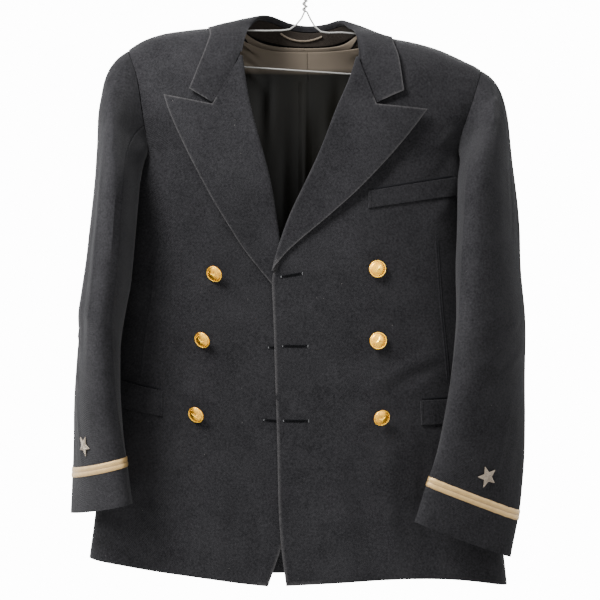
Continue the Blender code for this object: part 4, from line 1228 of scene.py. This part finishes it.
def rosette_form():
    """A low cone of sixteen base points: long, notch, short and notch by turns, laid on the dome."""
    shape = bmesh.new()
    bmesh.ops.create_cone(shape, cap_ends=True, cap_tris=True, segments=16, radius1=ROSETTE_RADIUS,
                          radius2=0.0, depth=ROSETTE_DEPTH,
                          matrix=Matrix.Translation((0, 0, ROSETTE_MIDDLE)))
    for vertex in shape.verts:
        if vertex.co.z >= ROSETTE_MIDDLE:
            vertex.co.z = ROSETTE_TOP
        elif vertex.co.xy.length > 1:
            turn = round(math.atan2(vertex.co.y, vertex.co.x) / (math.pi / 8))
            share = {0: LONG_POINT, 2: SHORT_POINT}.get(turn % 4, NOTCH)
            vertex.co.x *= share
            vertex.co.y *= share
            vertex.co.z = dome_height(vertex.co.xy.length) + ROSETTE_LIFT
        else:
            vertex.co.z = ROSETTE_UNDER
    return shape


def bead_form(turn):
    shape = bmesh.new()
    place = (BEAD_RING * math.cos(turn), BEAD_RING * math.sin(turn), BEAD_HEIGHT)
    bmesh.ops.create_icosphere(shape, subdivisions=1, radius=BEAD_RADIUS, matrix=Matrix.Translation(place))
    return shape


# %% The whole button
ROPE = (10.1, 5.2, 0.62, 34)            # its ring's radius and height, its thickness and its twists
DOME_STEPS = 56
button_shape = spun(DOME_PROFILE, DOME_STEPS)
merge_into(button_shape, rope_ring(*ROPE))
merge_into(button_shape, rosette_form())
for order in range(BEADS):
    merge_into(button_shape, bead_form(2 * math.pi * order / BEADS))
# the hollows of the relief get the darker colour: partly tarnish, partly painted shade
stands = button_shape.verts.layers.float.new("raised")
for vertex in button_shape.verts:
    proud = vertex.co.z - dome_height(vertex.co.xy.length)
    vertex[stands] = min(max(0.4 + 1.1 * proud, 0.0), 1.0)
for face in button_shape.faces:
    face.smooth = True
button_mesh = mesh_of(button_shape, "button")
button_mesh.set_sharp_from_angle(angle=math.radians(38))
print("one button", len(button_mesh.polygons), "faces")

# %% [markdown]
# A CAD button is round about its own axis, so the direction in which its points spread least is that
# axis. Each detailed button is turned to it and stands where the CAD button's shank meets the cloth.

# %% Sewing on six buttons
def seen_axis(node):
    """A flat solid's points, its middle, and its axis towards the camera's side."""
    points = np.unique(np.array([v.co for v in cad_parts[node].data.vertices]).round(6), axis=0)
    middle = points.mean(axis=0)
    spread, axes = np.linalg.eigh(np.cov((points - middle).T))
    axis = Vector(axes[:, int(np.argmin(spread))])
    if axis.y > 0:
        axis.negate()
    return points, Vector(middle), axis


DROOPS = {
    # node: the way its face droops in the front view, and how far, in degrees
    "button_right_1": (226, 20),
    "button_right_2": (226, 16),
    "button_right_3": (230, 19),
    "button_left_3": (286, 41),
}
DROOP_SHIFT = 0.55                      # share of its radius by which a drooping button comes off the cloth
TURN_STEP, LEFT_TURN = 17, 40           # degrees that buttons are turned from each other, as sewn by hand
for side in ("left", "right"):
    for order in (1, 2, 3):
        node = f"button_{side}_{order}"
        points, middle, axis = seen_axis(node)
        foot = middle + axis * min((Vector(point) - middle).dot(axis) for point in points)
        if node in DROOPS:
            aim, droop = (math.radians(value) for value in DROOPS[node])
            down = Vector((math.cos(aim), 0, math.sin(aim)))
            foot = foot + axis * BUTTON_RADIUS * DROOP_SHIFT * math.sin(droop) * MM
            axis = axis * math.cos(droop) + (down - axis * down.dot(axis)).normalized() * math.sin(droop)
        upright = axis.to_track_quat("Z", "Y").to_matrix().to_4x4()
        turn = TURN_STEP * order + (LEFT_TURN if side == "left" else 0)
        turned = Matrix.Rotation(math.radians(turn), 4, "Z")
        mesh = button_mesh.copy()
        mesh.transform(Matrix.Translation(foot) @ upright @ turned @ Matrix.Scale(MM, 4))
        sewn = new_piece(f"{node}_gilt", mesh, (gilt,), (node,))
        print(sewn.name, "faces", tuple(round(part, 2) for part in axis))

# %% [markdown]
# ## Lace round the cuffs
# Half-inch gold lace is woven with two ribbed bands and a sunk line between them. The CAD stripe's own
# points say how high its edges run at each turn round the sleeve, because the cuff is cut on a slope,
# and rays from outside bring the strip down on the creased cloth.

# %% Lace material
LACE_WIDTH, SUNK_LINE, HEM_FROM = 0.0127, 0.0008, 0.0056
LACE_RIBS = {"Scale": WAVE_PERIOD / 0.0009, "Distortion": 0.6}
gold_lace, lace_tree, lace_shader = new_material("gold_lace", 0.42, 0.55)
lace_place = add_node(lace_tree, "ShaderNodeTexCoord").outputs
lace_ribs = add_texture(lace_tree, "Wave", lace_place["UV"], LACE_RIBS,
                        bands_direction="DIAGONAL").outputs["Fac"]
lace_age = add_texture(lace_tree, "Noise", lace_place["Object"], {"Scale": 130.0, "Detail": 4.0}).outputs[0]
lace_axes = add_node(lace_tree, "ShaderNodeSeparateXYZ")
lace_tree.links.new(lace_place["UV"], lace_axes.inputs[0])
aside = maths(lace_tree, "SUBTRACT", lace_axes.outputs["Y"], LACE_WIDTH / 2)
from_middle = maths(lace_tree, "ABSOLUTE", aside)
# the sunk line is painted darker as painted shade, and the hem lines along both edges are painted darker too;
# the rib troughs are painted shade
sunk = maths(lace_tree, "LESS_THAN", from_middle, SUNK_LINE)
hem_line = maths(lace_tree, "GREATER_THAN", from_middle, HEM_FROM)
lines = maths(lace_tree, "MULTIPLY", maths(lace_tree, "MAXIMUM", sunk, hem_line), 0.7)
shaded = maths(lace_tree, "MULTIPLY", lace_ribs, 0.45)
old_gold = blend_colours(lace_tree, lace_age, (0.27, 0.165, 0.06), (0.52, 0.345, 0.13))
ribbed = blend_colours(lace_tree, shaded, old_gold, (0.30, 0.20, 0.10))
lined = blend_colours(lace_tree, lines, ribbed, (0.16, 0.105, 0.06))
lace_tree.links.new(lined, lace_shader.inputs["Base Color"])
add_bump(lace_tree, lace_shader, lace_ribs, 0.5, 0.0003)


# %% Finding the sleeve
RAY_START, RAY_REACH = 0.05, 0.12       # in metres


def sleeve_surface(side, place, lift):
    """The sleeve's outer face straight out from its middle at a place round it."""
    heights, xs, ys = SLEEVE_MIDDLES[side]
    height = place.z / MM + HOOK_HEIGHT
    middle = at(np.interp(height, heights, xs), np.interp(height, heights, ys), height)
    way = (middle - place).normalized()
    found = []
    for part in ("top", "under"):
        cloth = cloth_trees[f"sleeve_{part}_{side}"]
        hit, normal, _, distance = cloth.ray_cast(place - way * RAY_START, way, RAY_REACH)
        if hit is not None:
            found.append((distance, hit, normal if normal.dot(way) < 0 else -normal))
    if not found:
        return place
    _, hit, normal = min(found, key=lambda f: f[0])
    return hit + normal * lift * MM


# %% Laying the lace
LACE_ROWS, LACE_THICKNESS = 180, 0.0006
LACE_SECTION = [
    # place across, from 0 to 1, and lift in mm
    (0.0, 0.25), (0.06, 0.85), (0.24, 1.15), (0.42, 0.95), (0.5, 0.6), (0.58, 0.95), (0.76, 1.15),
    (0.94, 0.85), (1.0, 0.25),
]


def lace_round_cuff(side):
    """Lace between the two edges of a CAD stripe, whose points lie above or below a sloping plane."""
    points = np.array([v.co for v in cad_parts[f"stripe_{side}"].data.vertices])
    flat = in_mm(points)
    dx, dy = from_sleeve_middle(flat, side)
    turns = np.arctan2(dy, dx)
    level = np.c_[flat[:, :2], np.ones(len(flat))]
    slope = np.linalg.lstsq(level, flat[:, 2], rcond=None)[0]
    upper = flat[:, 2] > level @ slope
    rows = []
    for order in range(LACE_ROWS + 1):
        turn = -math.pi + 2 * math.pi * (order % LACE_ROWS) / LACE_ROWS
        edges = [Vector([np.interp(turn, turns[edge], points[edge, k], period=2 * math.pi) for k in range(3)])
                 for edge in (~upper, upper)]
        rows.append([sleeve_surface(side, edges[0].lerp(edges[1], s), lift) for s, lift in LACE_SECTION])
    centre = len(LACE_SECTION) // 2
    length = sum((b[centre] - a[centre]).length for a, b in zip(rows, rows[1:]))
    made = strip(f"lace_{side}", rows, LACE_THICKNESS, length, LACE_WIDTH, gold_lace,
                 (f"stripe_{side}",))
    print(made.name, round(length, 3), "m of lace")


for side in ("left", "right"):
    lace_round_cuff(side)

# %% [markdown]
# ## Embroidered stars
# The star is padded and worked in fine metal purl: each of its ten facets is filled with threads that
# run from the ridge out to the edge, and a twisted cord goes round the outline. The CAD star gives the
# points, so the threads are laid straight from one to another.

# %% Working the stars
STAR_HUB, ARM_ANGLE = 0.002, 12         # metres from the middle, and degrees that one group of points spans


def star_points(node):
    """Middle, tips and notches of a CAD star's upper side, in order round it."""
    points, middle, axis = seen_axis(node)
    across = axis.orthogonal().normalized()
    beyond = axis.cross(across)
    groups = {}
    for point in points:
        offset = Vector(point) - middle
        right, up = offset.dot(across), offset.dot(beyond)
        in_hub = math.hypot(right, up) < STAR_HUB
        turn = "hub" if in_hub else round(math.degrees(math.atan2(up, right)) / ARM_ANGLE)
        groups.setdefault(turn, []).append(Vector(point))
    hub = groups.pop("hub")
    ring = [groups[turn] for turn in sorted(groups)]
    return [max(group, key=lambda p: p.dot(axis)) for group in (hub, *ring)], axis


THREADS_A_FACET, THREAD_RADIUS, THREAD_LIFT = 11, 0.42, 0.15
CORD_RADIUS, CORD_SINK, CORD_SIDES = 0.5, 0.2, 8
for side in ("left", "right"):
    node = f"star_{side}"
    (top, *ring), axis = star_points(node)
    first_tip = int(np.argmax([(p - top).length for p in ring])) % 2
    lift, sink = axis * THREAD_LIFT * MM, axis * CORD_SINK * MM
    shape, backing = bmesh.new(), bmesh.new()
    backing.from_mesh(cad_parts[node].data)
    bmesh.ops.remove_doubles(backing, verts=backing.verts, dist=1e-6)
    merge_into(shape, backing)
    following = ring[1:] + ring[:1]
    for order in range(first_tip, len(ring), 2):
        for notch in (ring[order - 1], following[order]):
            for k in range(THREADS_A_FACET):
                share = (k + 0.5) / THREADS_A_FACET
                add_rod(shape, top.lerp(ring[order], share) + lift, notch.lerp(ring[order], share) + lift,
                        THREAD_RADIUS)
    for start, end in zip(ring, following):
        add_rod(shape, start - sink, end - sink, CORD_RADIUS, CORD_SIDES)
    made = finish_rods(f"star_{side}_bullion", shape, bullion, (node,))
    print(made.name, len(ring), "points", len(made.data.polygons), "faces")

# %% [markdown]
# ## Hanger and loop
# The CAD wire and tape have the right shape, so they stay and only get better finishes.

# %% Wire and tape finishes
for node, finish in (("hanger", zinc_wire), ("hang_loop", tan_tape)):
    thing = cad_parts[node]
    for material_slot in thing.material_slots:
        material_slot.material = finish
    print(node, "has", finish.name)

# %% [markdown]
# ## Light and camera
# A pale floor lies well below the hem. Four soft lamps light the jacket: a strong one from the upper
# left, a weak one from the right, one from behind for the shoulders, and one low on the left that
# edges the sleeve. The camera stands level at chest height.

# %% Lamps
def area_light(name, place, look, size, power):
    lamp = bpy.data.lights.new(name, "AREA")
    lamp.shape = "DISK"
    lamp.size = size
    lamp.energy = power
    made = put_in_scene(name, lamp)
    made.location = place
    made.rotation_euler = (Vector(look) - Vector(place)).to_track_quat("-Z", "Y").to_euler()


MIDDLE = (0.0, 0.0, -0.45)
area_light("key", (-1.05, -1.05, 1.0), (-0.1, 0.0, -0.3), 0.8, 104.0)
area_light("fill", (1.2, -2.3, 0.3), MIDDLE, 1.5, 20.0)
area_light("rim", (0.3, 1.9, 0.9), MIDDLE, 1.2, 40.0)
area_light("sleeve_edge", (-1.9, -0.5, 0.1), (-0.28, 0.0, -0.35), 0.6, 38.0)
print("lamps", len(bpy.data.lights))

# %% Floor
FLOOR_LEVEL = -1.25
pale, pale_tree, pale_shader = new_material("pale_floor", 0.8)
grain = add_node(pale_tree, "ShaderNodeTexNoise", {"Scale": 3.0}).outputs[0]
pale_tree.links.new(blend_colours(pale_tree, grain, (0.78, 0.78, 0.77), (0.82, 0.82, 0.81)),
                    pale_shader.inputs["Base Color"])
shape = bmesh.new()
bmesh.ops.create_grid(shape, x_segments=8, y_segments=8, size=2.0,
                      matrix=Matrix.Translation((0, 0, FLOOR_LEVEL)))
floor = put_in_scene("floor", mesh_of(shape, "floor"))
floor.data.materials.append(pale)

# %% [markdown]
# The sky has three strengths: a weak one that lights the cloth, a stronger one that gilt reflects, and
# a white one that only the camera sees behind the jacket.

# %% Sky
SKY_LIGHT, SKY_IN_METAL, BACKDROP = 0.38, 3.0, 14.0
world = bpy.data.worlds.new("studio")
world.use_nodes = True
studio = world.node_tree
soft = studio.nodes["Background"]
soft.inputs["Color"].default_value = (0.93, 0.94, 0.95, 1)
backdrop = add_node(studio, "ShaderNodeBackground", {"Color": (1, 1, 1, 1), "Strength": BACKDROP})
seen = add_node(studio, "ShaderNodeLightPath")
choose = add_node(studio, "ShaderNodeMixShader")
for_metal = maths(studio, "MULTIPLY", seen.outputs["Is Glossy Ray"], SKY_IN_METAL)
studio.links.new(maths(studio, "ADD", for_metal, SKY_LIGHT), soft.inputs["Strength"])
studio.links.new(seen.outputs["Is Camera Ray"], choose.inputs["Fac"])
studio.links.new(soft.outputs["Background"], choose.inputs[1])
studio.links.new(backdrop.outputs["Background"], choose.inputs[2])
studio.links.new(choose.outputs["Shader"], studio.nodes["World Output"].inputs["Surface"])
bpy.context.scene.world = world

# %% Camera
CAMERA_PLACE = (-0.0065, -2.26, -0.4585)
LENS = 103.94                           # millimetres, on a 36 mm sensor
lens = bpy.data.cameras.new("camera")
lens.sensor_width = 36.0
lens.lens = LENS
camera = put_in_scene("camera", lens)
camera.location = CAMERA_PLACE
camera.rotation_euler = (math.radians(90), 0, 0)
bpy.context.scene.camera = camera
print("camera at", CAMERA_PLACE, "with", LENS, "mm")
